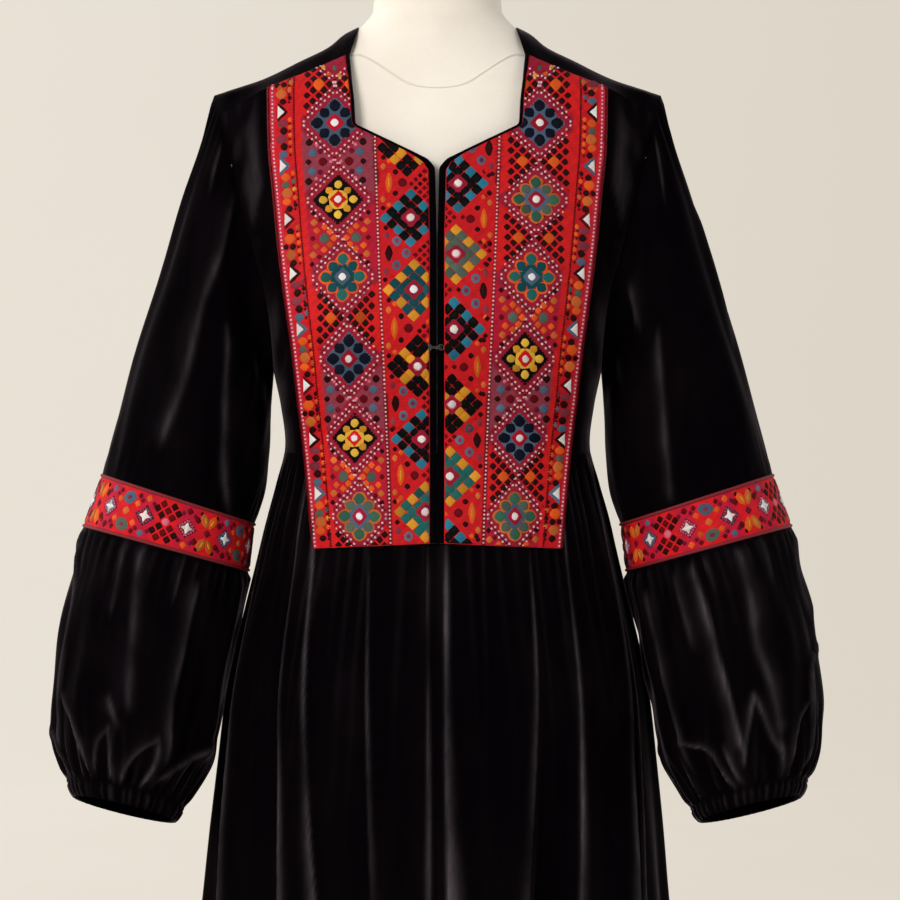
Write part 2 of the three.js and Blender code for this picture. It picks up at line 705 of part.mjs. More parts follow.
// Points of a sleeve ring, moved in from its edge and along the sleeve.
function ringPoints(ring, inset = 0, along = 0) {
  const { centre, across, deep, down } = ringAxes(ring);
  const acrossScale = 1 - inset / across.length();
  const deepScale = 1 - inset / deep.length();
  return Array.from({ length: sleeveSteps }, (_, step) => {
    const angle = (2 * Math.PI * step) / sleeveSteps;
    return centre.clone()
      .addScaledVector(across, Math.cos(angle) * acrossScale)
      .addScaledVector(deep, Math.sin(angle) * deepScale)
      .addScaledVector(down, along);
  });
}

// The armhole as a sleeve's first ring: tip, down the front, underarm, and up the back.
function armholeRing() {
  const half = sleeveSteps / 2;
  return Array.from({ length: sleeveSteps }, (_, step) => {
    const side = step <= half ? -1 : 1;
    const z = armholeHeight(step);
    if (step === half) {
      return new THREE.Vector3(sectionAt(z).halfWidth, 0, z);
    }
    return step === 0
      ? new THREE.Vector3(shoulderTipX, 0, shoulderLine(shoulderTipX))
      : bodyPoint(panelEdge(z, side), z, side);
  });
}

// Outward direction at each point of a round net, from its neighbours.
function roundNormals(points) {
  const steps = points[0].length;
  return points.map((row, rowIndex) => row.map((_, step) => {
    const around = row[(step + 1) % steps].clone().sub(row[(step + steps - 1) % steps]);
    const above = points[Math.max(rowIndex - 1, 0)][step];
    const below = points[Math.min(rowIndex + 1, points.length - 1)][step];
    return around.cross(below.clone().sub(above)).normalize();
  }));
}

function addUpperSleeve(name, wearerSide) {
  const halfPiping = pipingHeight / 2 + seamGap;
  const offBody = new THREE.Vector3(1, 0, -armholeLean).setLength(sleeveSeamGap);
  const last = upperSleeveRings[upperSleeveRings.length - 1];
  const rings = upperSleeveRings.slice(0, -1).map((ring) => ringPoints(ring));
  const head = armholeRing().map((point) => point.add(offBody));
  const outer = [head, ...rings, ringPoints(last, 0, -halfPiping)];
  const normals = roundNormals(outer);
  const middle = ringAxes(upperSleeveRings[1]).centre;
  const sign = Math.sign(normals[2][0].dot(outer[2][0].clone().sub(middle)));
  const inner = outer.map((row, rowIndex) => row.map((point, step) => {
    const outward = normals[rowIndex][step].multiplyScalar(sign);
    if (rowIndex === 0) {
      const nearTip = (1 + Math.cos((2 * Math.PI * step) / sleeveSteps)) / 2;
      outward.lerp(bodyNormal(point), nearTip).normalize();
    }
    return point.clone().addScaledVector(outward, -velvetThickness);
  }));
  inner[inner.length - 1] = ringPoints(last, velvetThickness, -halfPiping);
  const sides = [outer, inner].map((points) => mirrored(points, wearerSide));
  addPiece(`sleeve_upper_${name}`, wall(...sides, { round: true }), colours.velvet);
}

// A round stretch of sleeve through its rings, drawn back from its two ends.
function addRings(name, rings, { startBack, endBack, proud = 0, wearerSide, colour }) {
  const lastIndex = rings.length - 1;
  const backOff = (index) => {
    const atEnd = index === lastIndex ? -endBack : 0;
    return index === 0 ? startBack : atEnd;
  };
  const outer = rings.map((ring, index) => ringPoints(ring, -proud, backOff(index)));
  const inner = rings.map((ring, index) => ringPoints(ring, velvetThickness, backOff(index)));
  const sides = [outer, inner].map((points) => mirrored(points, wearerSide));
  addPiece(name, wall(...sides, { round: true }), colour);
}

// Piping: a rounded cord of cloth that fills a seam and stands a little proud of it.
function addPiping(name, ring, wearerSide) {
  const half = pipingHeight / 2;
  const profile = [[pipingEdgeProud, -half], [pipingProud, 0], [pipingEdgeProud, half]];
  const outer = profile.map(([proud, along]) => ringPoints(ring, -proud, along));
  const inner = [-half, 0, half].map((along) => ringPoints(ring, velvetThickness, along));
  const sides = [outer, inner].map((points) => mirrored(points, wearerSide));
  addPiece(name, wall(...sides, { round: true }), colours.piping);
}

function addSleeve(name, wearerSide) {
  const besidePiping = pipingHeight / 2 + seamGap;
  addUpperSleeve(name, wearerSide);
  addPiping(`piping_upper_${name}`, bandRings[0], wearerSide);
  addRings(`sleeve_band_${name}`, bandRings, {
    startBack: besidePiping,
    endBack: besidePiping,
    proud: bandProud,
    wearerSide,
    colour: colours.embroidery,
  });
  addPiping(`piping_lower_${name}`, bandRings[bandRings.length - 1], wearerSide);
  addRings(`sleeve_lower_${name}`, lowerSleeveRings, {
    startBack: besidePiping,
    endBack: seamGap / 2,
    wearerSide,
    colour: colours.velvet,
  });
  addRings(`cuff_${name}`, cuffRings, {
    startBack: seamGap / 2,
    endBack: 0,
    wearerSide,
    colour: colours.velvet,
  });
}

// Places a small piece on the binding: X stays across, local Y points out of the cloth.
function seatOnBinding(mesh, x) {
  const point = bodyPoint(Math.abs(x), hookHeight, -1);
  const outward = bodyNormal(point).setX(0).normalize();
  const across = new THREE.Vector3(1, 0, 0);
  mesh.matrixAutoUpdate = false;
  const basis = new THREE.Matrix4().makeBasis(across, outward, across.clone().cross(outward));
  const seat = point.addScaledVector(outward, appliedClearance + bindingThickness + hookClearance).setX(x);
  mesh.matrix.copy(basis).setPosition(seat);
}

// Hook and eye of flat wire, fastened: the hook's tip reaches down through the eye.
function addHookAndEye() {
  const wire = 0.9;
  const hookWidth = 2;
  const eyeOuter = 2.8;
  const eyeInner = 1.7;
  const eyeX = 3.5;
  const profile = [
    [-6.5, 0], [-1, 0], [-1, 1.2], [2.6, 1.2], [2.6, 0.2], [4.2, 0.2], [4.2, 2.1], [-6.5, 2.1],
  ];
  const hookShape = new THREE.Shape(profile.map(([x, y]) => new THREE.Vector2(x, y)));
  const hookSolid = new THREE.ExtrudeGeometry(hookShape, { depth: hookWidth, bevelEnabled: false });
  hookSolid.translate(0, 0, -hookWidth / 2);
  seatOnBinding(addPiece('hook', hookSolid, colours.steel, 0.35, 1), 0);
  const ring = new THREE.Shape().absarc(0, 0, eyeOuter, 0, 2 * Math.PI);
  ring.holes.push(new THREE.Path().absarc(0, 0, eyeInner, 0, 2 * Math.PI, true));
  const eyeSolid = new THREE.ExtrudeGeometry(ring, { depth: wire, bevelEnabled: false, curveSegments: 8 });
  eyeSolid.rotateX(-Math.PI / 2);
  seatOnBinding(addPiece('eye', eyeSolid, colours.steel, 0.35, 1), eyeX);
}

// Torso and neck of the dress form: the garment's form moved in, then the neck's own rings.
function addForm() {
  const levels = [
    formBottom, 850, 900, 950, 1000, waistHeight, 1090, 1128, 1160, 1195, 1235, 1275, 1312,
    1338, 1352, 1361, 1367, 1379, 1391, 1402, 1411,
  ];
  const angles = Array.from({ length: formSteps }, (_, step) => (360 * step) / formSteps);
  const torso = levels.map((z) => {
    const air = smooth(formClearance, 'z', 'air', z);
    return angles.map((degrees) => movedOut(roundPoint(degrees, z), -velvetThickness - air));
  });
  torso[0].forEach((point) => point.setZ(formBottom));
  const neck = formNeck.map((row) => angles.map((degrees) => {
    const angle = THREE.MathUtils.degToRad(degrees);
    const depth = Math.cos(angle) > 0 ? row.front : row.back;
    return new THREE.Vector3(row.halfWidth * Math.sin(angle), row.y - depth * Math.cos(angle), row.z);
  }));
  addPiece('form_body', ringSolid([...torso, ...neck]), colours.linen, 0.85);
}

// A turned piece from half its outline, given as pairs of radius and height.
function turned(outline) {
  const profile = outline.map(([radius, height]) => new THREE.Vector2(radius, height));
  const solid = new THREE.LatheGeometry(profile, turnedSteps);
  solid.rotateX(Math.PI / 2);
  return solid;
}

function addStand() {
  const footHeight = 16;
  const rim = 6;
  const hubRadius = 34;
  const hubTop = 42;
  const collarRadius = 36;
  const collarHeight = 26;
  const foot = [
    [0, 0], [footRadius - 2, 0], [footRadius, 2], [footRadius, rim], [footRadius - 6, rim + 4],
    [hubRadius + 20, footHeight], [hubRadius, footHeight + 6], [hubRadius - 8, hubTop], [0, hubTop],
  ];
  addPiece('stand_base', turned(foot), colours.darkSteel, 0.45, 0.8);
  const poleTop = formBottom - seamGap;
  const pole = [[0, hubTop + seamGap], [poleRadius, hubTop + seamGap], [poleRadius, poleTop], [0, poleTop]];
  addPiece('stand_pole', turned(pole), colours.steel, 0.3, 1);
  const inside = poleRadius + seamGap;
  const low = poleTop - collarHeight;
  const collar = [
    [inside, low], [inside + 8, low], [inside + 10, low + 3], [inside + 10, low + 16],
    [collarRadius, low + 20], [collarRadius, poleTop], [inside, poleTop], [inside, low],
  ];
  addPiece('stand_collar', turned(collar), colours.darkSteel, 0.45, 0.8);
}

addBack();
[['left', 1], ['right', -1]].forEach(([name, wearerSide]) => {
  addFrontHalf(name, wearerSide);
  addBib(name, wearerSide);
  addBinding(name, wearerSide);
  addSleeve(name, wearerSide);
});
addSkirtPanel('skirt_front_right', -90, 0);
addSkirtPanel('skirt_front_left', 0, 90);
addSkirtPanel('skirt_back', 90, 270);
addHookAndEye();
addForm();
addStand();

export default manteau;
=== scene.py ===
# An embroidered velvet manteau on a limbless dress form with a round foot.
# Shapes are worked out in millimetres, +Z up, the front towards -Y, and scaled to metres in the mesh.
import bpy
import numpy as np
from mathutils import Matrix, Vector


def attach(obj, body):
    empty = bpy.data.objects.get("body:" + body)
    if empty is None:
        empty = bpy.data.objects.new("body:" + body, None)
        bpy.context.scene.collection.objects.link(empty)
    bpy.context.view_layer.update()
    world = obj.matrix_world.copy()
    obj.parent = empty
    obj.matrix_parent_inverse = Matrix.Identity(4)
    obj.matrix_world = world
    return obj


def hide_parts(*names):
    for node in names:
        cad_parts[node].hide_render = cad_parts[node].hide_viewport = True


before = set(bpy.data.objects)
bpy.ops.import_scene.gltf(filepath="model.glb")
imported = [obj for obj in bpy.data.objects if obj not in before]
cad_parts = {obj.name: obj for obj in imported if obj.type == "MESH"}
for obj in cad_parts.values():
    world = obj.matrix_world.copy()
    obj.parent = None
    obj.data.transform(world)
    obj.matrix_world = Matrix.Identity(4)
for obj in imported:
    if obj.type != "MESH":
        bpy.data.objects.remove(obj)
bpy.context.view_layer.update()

mm = 0.001
turn = 2 * np.pi
sides = (("left", 1), ("right", -1))  # the wearer's left is towards +X


# Smooth value of a table: a cubic between its rows that never passes their values.
def curve(xs, ys, at):
    xs, ys = np.asarray(xs, float), np.asarray(ys, float)
    at = np.clip(at, xs[0], xs[-1])
    step = np.diff(xs)
    rise = np.diff(ys) / step
    slope = np.concatenate([rise[:1], np.zeros(len(xs) - 2), rise[-1:]])
    product = rise[:-1] * rise[1:]
    slope[1:-1] = np.where(product > 0, 2 * product / np.where(product > 0, rise[:-1] + rise[1:], 1), 0)
    row = np.clip(np.searchsorted(xs, at) - 1, 0, len(xs) - 2)
    t = (at - xs[row]) / step[row]
    return (ys[row] * (2 * t**3 - 3 * t**2 + 1) + slope[row] * step[row] * (t**3 - 2 * t**2 + t)
            + ys[row + 1] * (3 * t**2 - 2 * t**3) + slope[row + 1] * step[row] * (t**3 - t**2))


# 0 below the first value, 1 above the second, and an even S between them.
def ramp(low, high, at):
    t = np.clip((np.asarray(at, float) - low) / (high - low), 0, 1)
    return t * t * (3 - 2 * t)


# A share of the way from a to b.
def mix(a, b, share):
    return a + (b - a) * share


# Levels from hem to neck: height, half width, depth in front, depth behind, squareness (2 is an ellipse).
bodyLevels = np.array([
    (240, 248, 190, 192, 2.1), (450, 224, 174, 177, 2.1), (654, 199, 156, 158, 2.1),
    (717, 194, 150, 151, 2.1), (778, 188, 143, 143, 2.1), (837, 182, 135, 134, 2.1),
    (875, 175, 129, 126, 2.1), (915, 166, 123, 116, 2.1), (945, 159, 118, 108, 2.1),
    (989, 149, 112, 97, 2.15), (1024, 139.5, 107, 86, 2.2), (1057, 134, 105, 80, 2.2),
    (1090, 138, 112, 84, 2.3), (1119, 144, 122, 88, 2.3), (1160, 150, 131, 92, 2.3),
    (1200, 159, 120, 95, 2.3), (1241, 171, 99, 96, 2.3), (1282, 182, 84, 93, 2.2),
    (1315, 193, 76, 86, 2.1), (1343, 200, 70, 76, 1.9), (1361, 198, 65, 70, 1.8),
    (1365, 187, 64, 69, 1.8), (1376, 154, 60, 66, 1.7), (1392, 121, 57, 63, 1.7),
    (1405, 95, 56, 61, 1.7), (1416, 82, 55, 60, 1.7), (1423, 68, 54, 58, 1.7),
])
bodyLines = dict(zip(["z", "wide", "front", "back", "power"], bodyLevels.T))


# One measure of the form, on the curve through its levels.
def bodyLine(name, z):
    return curve(bodyLines["z"], bodyLines[name], z)


# Depth of the form from its middle.
def bodyDepth(z, behind):
    return np.where(behind, bodyLine("back", z), bodyLine("front", z))


# A point of the outer form by its place across, its height and its side (-1 in front, 1 behind):
# depth * (1 - |x / half width| ^ n) ^ (1 / n).
def bodyPoint(x, z, side):
    x, z, side = np.broadcast_arrays(np.asarray(x, float), np.asarray(z, float), np.asarray(side, float))
    power = bodyLine("power", z)
    share = np.clip(np.abs(x) / bodyLine("wide", z), 0, 1)
    y = bodyDepth(z, side > 0) * (1 - share**power) ** (1 / power)
    return np.stack([x, side * np.maximum(y, 0.15), z], -1)


# A point of the outer form by the angle round it, from the centre front towards +X.
def roundPoint(degrees, z):
    angle = np.radians(degrees)
    power = bodyLine("power", z)
    sine, cosine = np.sin(angle), np.cos(angle)
    x = bodyLine("wide", z) * np.sign(sine) * np.abs(sine) ** (2 / power)
    y = -bodyDepth(z, cosine <= 0) * np.sign(cosine) * np.abs(cosine) ** (2 / power)
    return np.stack([x, y, z + 0 * x], -1)


# The outward direction of the form, from how (|x| / half width)^n + (|y| / depth)^n changes.
def bodyNormal(p, reach=0.5):
    # 1 on the form's face, more outside it.
    def level(x, y, z):
        power = bodyLine("power", z)
        return (np.abs(x) / bodyLine("wide", z)) ** power + (np.abs(y) / bodyDepth(z, y > 0)) ** power
    x, y, z = p[..., 0], p[..., 1], p[..., 2]
    slope = np.stack([level(x + reach, y, z) - level(x - reach, y, z),
                      level(x, y + reach, z) - level(x, y - reach, z),
                      level(x, y, z + reach) - level(x, y, z - reach)], -1)
    return slope / np.linalg.norm(slope, axis=-1, keepdims=True)


# The outward direction of any net, across its rows and columns.
def netNormal(net, wrap=False):
    down = np.gradient(net, axis=0)
    if wrap:
        along = (np.roll(net, -1, 1) - np.roll(net, 1, 1)) / 2
    else:
        along = np.gradient(net, axis=1)
    cross = np.cross(along, down)
    return cross / np.maximum(np.linalg.norm(cross, axis=-1, keepdims=True), 1e-9)


# Quads of a net of rows and columns, with only the cells that keep names.
def netQuads(rows, columns, wrap=False, keep=None):
    r, c = np.meshgrid(np.arange(rows - 1), np.arange(columns if wrap else columns - 1), indexing="ij")
    n = (c + 1) % columns
    quads = np.stack([r * columns + c, r * columns + n, (r + 1) * columns + n, (r + 1) * columns + c], -1)
    return quads[keep] if keep is not None else quads.reshape(-1, 4)


# Faces of a closed wall: the outer quads, the same turned round on the inner net, and a rim between
# them along every edge that only one quad has.
def wallQuads(quads, shift):
    edges = np.stack([quads, np.roll(quads, -1, 1)], -1).reshape(-1, 2)
    _, first, count = np.unique(np.sort(edges, 1), axis=0, return_index=True, return_counts=True)
    rim = edges[first[count == 1]]
    side = np.stack([rim[:, 1], rim[:, 0], rim[:, 0] + shift, rim[:, 1] + shift], 1)
    return np.concatenate([quads, quads[:, ::-1] + shift, side])


# Six times the volume that outward faces enclose, by the triple products of their corners.
def volumeOf(points, quads):
    a, b, c, d = (points[quads[:, k]] for k in range(4))
    return (np.einsum("ij,ij->i", a, np.cross(b, c)) + np.einsum("ij,ij->i", a, np.cross(c, d))).sum()


# A mesh object from points in millimetres and four-cornered faces; a triangle repeats its last corner.
def makePiece(name, points, quads, material, replaces=(), uv=None, colour=None, sharp=50):
    points, quads = np.asarray(points, float).reshape(-1, 3), np.asarray(quads)
    used, index = np.unique(quads, return_inverse=True)
    points, quads = points[used], index.reshape(quads.shape)
    if volumeOf(points, quads) < 0:
        quads = quads[:, ::-1]
    three = quads[:, 2] == quads[:, 3]
    flipped = quads[:, 0] == quads[:, 1]
    quads = np.where(flipped[:, None], np.roll(quads, -1, 1), quads)
    three = three | flipped
    sizes = np.where(three, 3, 4)
    inFace = np.arange(4)[None] < sizes[:, None]
    loops = quads[inFace]
    mesh = bpy.data.meshes.new(name)
    mesh.vertices.add(len(points))
    mesh.vertices.foreach_set("co", (points * mm).astype(np.float32).ravel())
    mesh.loops.add(len(loops))
    mesh.loops.foreach_set("vertex_index", loops.astype(np.int32))
    mesh.polygons.add(len(quads))
    mesh.polygons.foreach_set("loop_start", np.concatenate([[0], np.cumsum(sizes)[:-1]]).astype(np.int32))
    mesh.update(calc_edges=True)
    mesh.validate()
    if uv is not None:
        layer = mesh.uv_layers.new(name="cloth")
        flat = np.asarray(uv, float).reshape(-1, 2)[used][loops] * mm
        layer.data.foreach_set("uv", flat.astype(np.float32).ravel())
    if colour is not None:
        layer = mesh.color_attributes.new("thread", "FLOAT_COLOR", "POINT")
        rgba = np.concatenate([np.asarray(colour, float).reshape(-1, 3)[used], np.ones((len(used), 1))], 1)
        layer.data.foreach_set("color", rgba.astype(np.float32).ravel())
    mesh.shade_smooth()
    mesh.set_sharp_from_angle(angle=np.radians(sharp))
    mesh.materials.append(material)
    piece = bpy.data.objects.new(name, mesh)
    bpy.context.collection.objects.link(piece)
    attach(piece, "root")
    if replaces:
        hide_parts(*replaces)
    print(f"{name}: {int((sizes - 2).sum())} triangles")
    return piece


# A closed wall between an outer and an inner net of points, with its "thread" colour given for the outer
# net and its share of that on the inner one.
def makeWall(name, outer, inner, material, replaces, uv,
             wrap=False, keep=None, sharp=50, thread=None, inside=0.0):
    rows, columns = outer.shape[:2]
    quads = wallQuads(netQuads(rows, columns, wrap, keep), rows * columns)
    points = np.concatenate([outer.reshape(-1, 3), inner.reshape(-1, 3)])
    colour = None
    if thread is not None:
        colour = thread.reshape(rows * columns, -1) * np.ones(3)
        colour = np.concatenate([colour, inside * colour])
    both = np.concatenate([uv.reshape(-1, 2)] * 2)
    return makePiece(name, points, quads, material, replaces, both, colour, sharp)


# Lengths along a net's rows and columns, as a flat pattern that the cloth's weave follows.
def flatNet(net):
    across = np.linalg.norm(np.diff(net, axis=1, prepend=net[:, :1]), axis=-1).cumsum(1)
    down = np.linalg.norm(np.diff(net, axis=0, prepend=net[:1]), axis=-1).cumsum(0)
    return np.stack([across - across.mean(1, keepdims=True), down], -1)


# Area of a net's face in square metres: half the cross products of its quads' triangles.
def clothArea(net, wrap=False):
    rows, columns = net.shape[:2]
    quads = netQuads(rows, columns, wrap)
    a, b, c, d = (net.reshape(-1, 3)[quads[:, k]] for k in range(4))
    twice = np.linalg.norm(np.cross(b - a, c - a), axis=1) + np.linalg.norm(np.cross(c - a, d - a), axis=1)
    return twice.sum() / 2 * mm * mm


# A socket that can be written in sums and products; each operator adds its Math node.
class Wire:
    def __init__(self, paint, socket):
        self.paint, self.socket = paint, socket

    def math(self, operation, *others):
        values = dict(enumerate((self,) + others))
        return self.paint.add("ShaderNodeMath", {"operation": operation}, values)

    def __add__(self, other):
        return self.math("ADD", other)

    def __sub__(self, other):
        return self.math("SUBTRACT", other)

    def __mul__(self, other):
        return self.math("MULTIPLY", other)

    def __rsub__(self, other):
        return self.paint.add("ShaderNodeMath", {"operation": "SUBTRACT"}, {0: other, 1: self})

    __radd__ = __add__
    __rmul__ = __mul__

    def sine(self):
        return self.math("SINE")

    # 0 below low and 1 above high, with an even S between.
    def step(self, low, high):
        values = {0: self, 1: low, 2: high}
        return self.paint.add("ShaderNodeMapRange", {"interpolation_type": "SMOOTHSTEP"}, values)


# A material and its nodes.
class Paint:
    def __init__(self, name):
        self.material = bpy.data.materials.new(name)
        self.material.use_nodes = True
        self.tree = self.material.node_tree
        self.tree.nodes.clear()
        self.shader = self.tree.nodes.new("ShaderNodeBsdfPrincipled")
        end = self.tree.nodes.new("ShaderNodeOutputMaterial")
        self.tree.links.new(self.shader.outputs[0], end.inputs[0])

    # Any node: its type, its settings, then its sockets' values or links; the output is named or the first.
    def add(self, kind, settings=None, values=None, output=0):
        node = self.tree.nodes.new(kind)
        for key, value in (settings or {}).items():
            setattr(node, key, value)
        for key, value in (values or {}).items():
            self.feed(node.inputs[key], value)
        return Wire(self, node.outputs[output])

    def feed(self, socket, value):
        if isinstance(value, Wire):
            self.tree.links.new(value.socket, socket)
        elif socket.type == "RGBA":
            socket.default_value = (*value, 1)
        else:
            socket.default_value = value

    # The shader's own sockets by their short names.
    def set(self, **values):
        for name, value in values.items():
            self.feed(self.shader.inputs[socketNames[name]], value)
        return self.material

    # The colour that each mesh carries: the velvet's painted highlight, the painted shade under the form's
    # seam and the embroidery's thread colours.
    def carried(self, output):
        return self.add("ShaderNodeAttribute", {"attribute_name": "thread"}, output=output)

    # Where a point is, on the piece or flat with "UV".
    def place(self, kind="Object"):
        return self.add("ShaderNodeTexCoord", output=kind)

    def scaled(self, where, scale):
        return self.add("ShaderNodeMapping", None, {"Vector": where, "Scale": scale})

    def noise(self, where, scale, detail=3.0, rough=0.5):
        values = {"Vector": where, "Scale": scale, "Detail": detail, "Roughness": rough}
        return self.add("ShaderNodeTexNoise", None, values)

    # From colour a to colour b by a share; the colour sockets of a Mix node are the seventh and eighth.
    def blend(self, share, a, b):
        return self.add("ShaderNodeMix", {"data_type": "RGBA"}, {0: share, 6: a, 7: b}, 2)

    # The three parts of a place.
    def split(self, where):
        first = self.add("ShaderNodeSeparateXYZ", None, {0: where})
        return [Wire(self, socket) for socket in first.socket.node.outputs]

    def bump(self, height, strength, distance):
        values = {"Height": height, "Strength": strength, "Distance": distance}
        return self.add("ShaderNodeBump", None, values)


socketNames = {
    "colour": "Base Color", "rough": "Roughness", "metal": "Metallic", "normal": "Normal",
    "specular": "Specular IOR Level", "sheen": "Sheen Weight", "sheenRough": "Sheen Roughness",
    "sheenTint": "Sheen Tint", "glow": "Emission Color", "glowPower": "Emission Strength",
}


# sRGB red, green and blue from 0 to 255 as the linear values that a shader takes.
def tone(red, green, blue):
    value = np.array([red, green, blue]) / 255
    linear = np.where(value <= 0.04045, value / 12.92, ((value + 0.055) / 1.055) ** 2.4)
    return tuple(float(v) for v in linear)


# Colours of the velvet; "lit" is the colour of the painted highlight beside its creases.
velvet = {"pile": tone(3, 1, 3), "pileWorn": tone(10, 6, 9), "sheen": 0.36, "sheenRough": 0.24,
          "sheenTint": tone(206, 186, 198), "nap": 1400, "streak": (26, 26, 5), "lit": tone(84, 77, 82)}


# Cotton velvet: near black, its nap brushed down in long soft streaks, with a plum-grey sheen at the
# edges, and a painted highlight beside its creases, which each piece marks in its "thread" colour.
def velvetMaterial():
    paint = Paint("velvet")
    where = paint.place()
    streaks = paint.noise(paint.scaled(where, velvet["streak"]), 1.0, 4.0, 0.6)
    patches = paint.noise(where, 14.0, 3.0)
    nap = paint.noise(where, velvet["nap"], 2.0)
    crushed = paint.noise(paint.scaled(where, (190, 190, 55)), 1.0, 3.0)
    share = (streaks * 0.65 + patches * 0.35).step(0.42, 0.72)
    height = nap * 0.5 + crushed * 0.35 + streaks * 0.3
    # Painted highlight: the share of the light colour that a piece paints beside its creases, broken by the
    # nap.
    paintedHighlight = paint.carried("Fac") * (0.9 * crushed + 0.5 * nap + 0.6 * (streaks - 0.5))
    plain = paint.blend(share, velvet["pile"], velvet["pileWorn"])
    return paint.set(
        colour=paint.blend(paintedHighlight, plain, velvet["lit"]), rough=0.62 + 0.25 * nap,
        normal=paint.bump(height, 0.32, 0.0011), specular=0.012, sheen=velvet["sheen"],
        sheenRough=velvet["sheenRough"], sheenTint=velvet["sheenTint"])


velvetCloth = velvetMaterial()


# Ridges side by side round a piece: each has its place, width, depth and reach, drawn from seeded
# numbers around the middle values given, so that no two are alike. Returns one row for each ridge.
def ridgeTable(count, seed, width, depth, reach, start=0.0, end=1.0):
    draw = np.random.default_rng(seed)
    spread = 0.35  # how much one ridge may differ from the middle value
    step = (end - start) / count
    place = start + step * (np.arange(count) + 0.5 + draw.uniform(-0.34, 0.34, count))
    sizes = np.array([[width], [depth], [reach]]) * (1 + spread * draw.uniform(-1, 1, (3, count)))
    return np.concatenate([place[None], sizes]).T


# Height of one ridge across itself, set in a shallow valley: exp(-(apart / side)^2) less a share of
# exp(-(apart / valley)^4).
def ridgeShape(apart, side, valley, share):
    return np.exp(-(apart / side) ** 2) - share * np.exp(-(apart / valley) ** 4)


# How far round a piece a point lies from a place, both as shares of the way round, -0.5 to 0.5.
def shareApart(around, place):
    return (around - place + 0.5) % 1 - 0.5


# Height of gathers: for each ridge depth * its shape across * exp(-(distance / reach)^1.6), where
# distance is how far a point lies from the seam that gathers the cloth. The ridges drift as they fade.
def gathers(around, distance, ridges, drift=0.0):
    height = np.zeros(np.broadcast(around, distance).shape)
    for number, (place, width, depth, reach) in enumerate(ridges):
        middle = place + drift * np.sin(number * 2.4) * distance / reach
        fade = np.exp(-(np.abs(distance) / reach) ** 1.6)
        height = height + depth * fade * ridgeShape(shareApart(around, middle), width, 2.0 * width, 0.45)
    return height


# Slow unevenness of hand-laid cloth: a few seeded waves across two directions, about -1 to 1.
def unevenness(a, b, seed):
    draw = np.random.default_rng(seed)
    low, high, waves = 1.0, 3.0, 6
    total = 0
    for _ in range(waves):
        phase = draw.uniform(low, high) * a * draw.choice([-1, 1]) + draw.uniform(low, high) * b
        total = total + np.sin(turn * phase + draw.uniform(0, turn))
    return total / waves * 1.6


skirt = {"top": 1047.85, "hem": 240, "thick": 2.0, "rows": 80, "seamInset": 0.04}
# Panels: first and last place round the waist in degrees, columns, and the flat width and length in metres.
skirtPanels = {
    "skirt_front_right": (-90, 0, 181, (0.62, 0.92)),
    "skirt_front_left": (0, 90, 181, (0.62, 0.92)),
    "skirt_back": (90, 270, 221, (1.24, 0.92)),
}

# Main folds: degrees round at the waist and at the hem, depth, half width, the height each starts at,
# how narrow its steep side is, on the right where that share is positive, and how strong its painted
# highlight is.
mainFolds = [
    (-164, -163, 15, 8, 1040, 0.5, 0.4), (-144, -142, 12, 7, 1030, -0.5, 0.6),
    (-122, -121, 16, 8, 1044, 0.45, 0.5), (-106, -104, 13, 7, 1046, -0.4, 0.4),
    (-91, -84, 13, 7, 1047, 0.6, 0.3), (-78, -54, 17, 8, 1046, -0.3, 0.7),
    (-51.6, -29.5, 13, 6.5, 1046, -0.2, 0.75), (-44.6, -12, 15, 8, 1044, 0.2, 0.85),
    (-23, -5, 9, 5, 990, -0.24, 0.45), (-1.9, -1.7, 8, 3.4, 985, 0.5, 0.6),
    (1.9, 3.1, 12, 9, 985, -0.16, 1.15), (31.4, 11.2, 10, 8, 990, 0.2, 0.5),
    (46, 22.5, 15, 8, 1040, -0.2, 1.1), (71.8, 40, 15, 7, 1046, 0.26, 0.7),
    (74.5, 53, 13, 6, 1044, 0.24, 0.7), (91, 84, 13, 7, 1047, -0.6, 0.3),
    (105, 103, 14, 7, 1046, 0.4, 0.5), (119, 117, 12, 8, 1040, -0.5, 0.4),
    (140, 139, 16, 7.5, 1034, 0.4, 0.7), (160, 158, 12, 7, 1044, -0.45, 0.5),
    (178, 178, 15, 8, 1036, 0.5, 0.8),
]


# How far the folds stand out: depth * fallen * (exp(-(apart / side)^2) - 0.3 exp(-(apart / 1.9 width)^4)),
# where fallen grows from the fold's start to the hem, apart is the angle from the fold's ridge, and
# side is the width, or its narrow share on the steep side. Also the painted highlight beside each ridge.
def foldReach(degrees, z):
    reach = paintedHighlight = 0
    for number, (top, hem, depth, width, start, steep, highlightStrength) in enumerate(mainFolds):
        fallen = np.clip((start - z) / (start - skirt["hem"]), 0, 1) ** 0.5
        middle = mix(top, hem, (skirt["top"] - z) / (skirt["top"] - skirt["hem"]))
        middle = middle + 0.4 * np.sin(z / 90 + number * 2.1)
        apart = ((degrees - middle + 540) % 360 - 180) * np.sign(steep)
        side = np.where(apart > 0, width * abs(steep), width)
        wave = 1 + 0.14 * np.sin(z / (130 + 9 * number) + number)
        reach = reach + depth * wave * fallen * ridgeShape(apart, side, 1.9 * width, 0.3)
        # Painted highlight: a light line beside the ridge, narrow on its steep side and wider on the other.
        highlightWidth = np.where(apart > 0, 0.38, 0.07 * width + 0.16 * width * ramp(900, 560, z))
        along = 0.62 + 0.3 * np.sin(z / 47 + number * 1.9) + 0.14 * np.sin(z / 19 + number)
        line = np.exp(-np.abs((apart + 0.2) / highlightWidth) ** 1.5)
        paintedHighlight = paintedHighlight + highlightStrength * along * ramp(0, 60, start - z) * line
    return reach, paintedHighlight


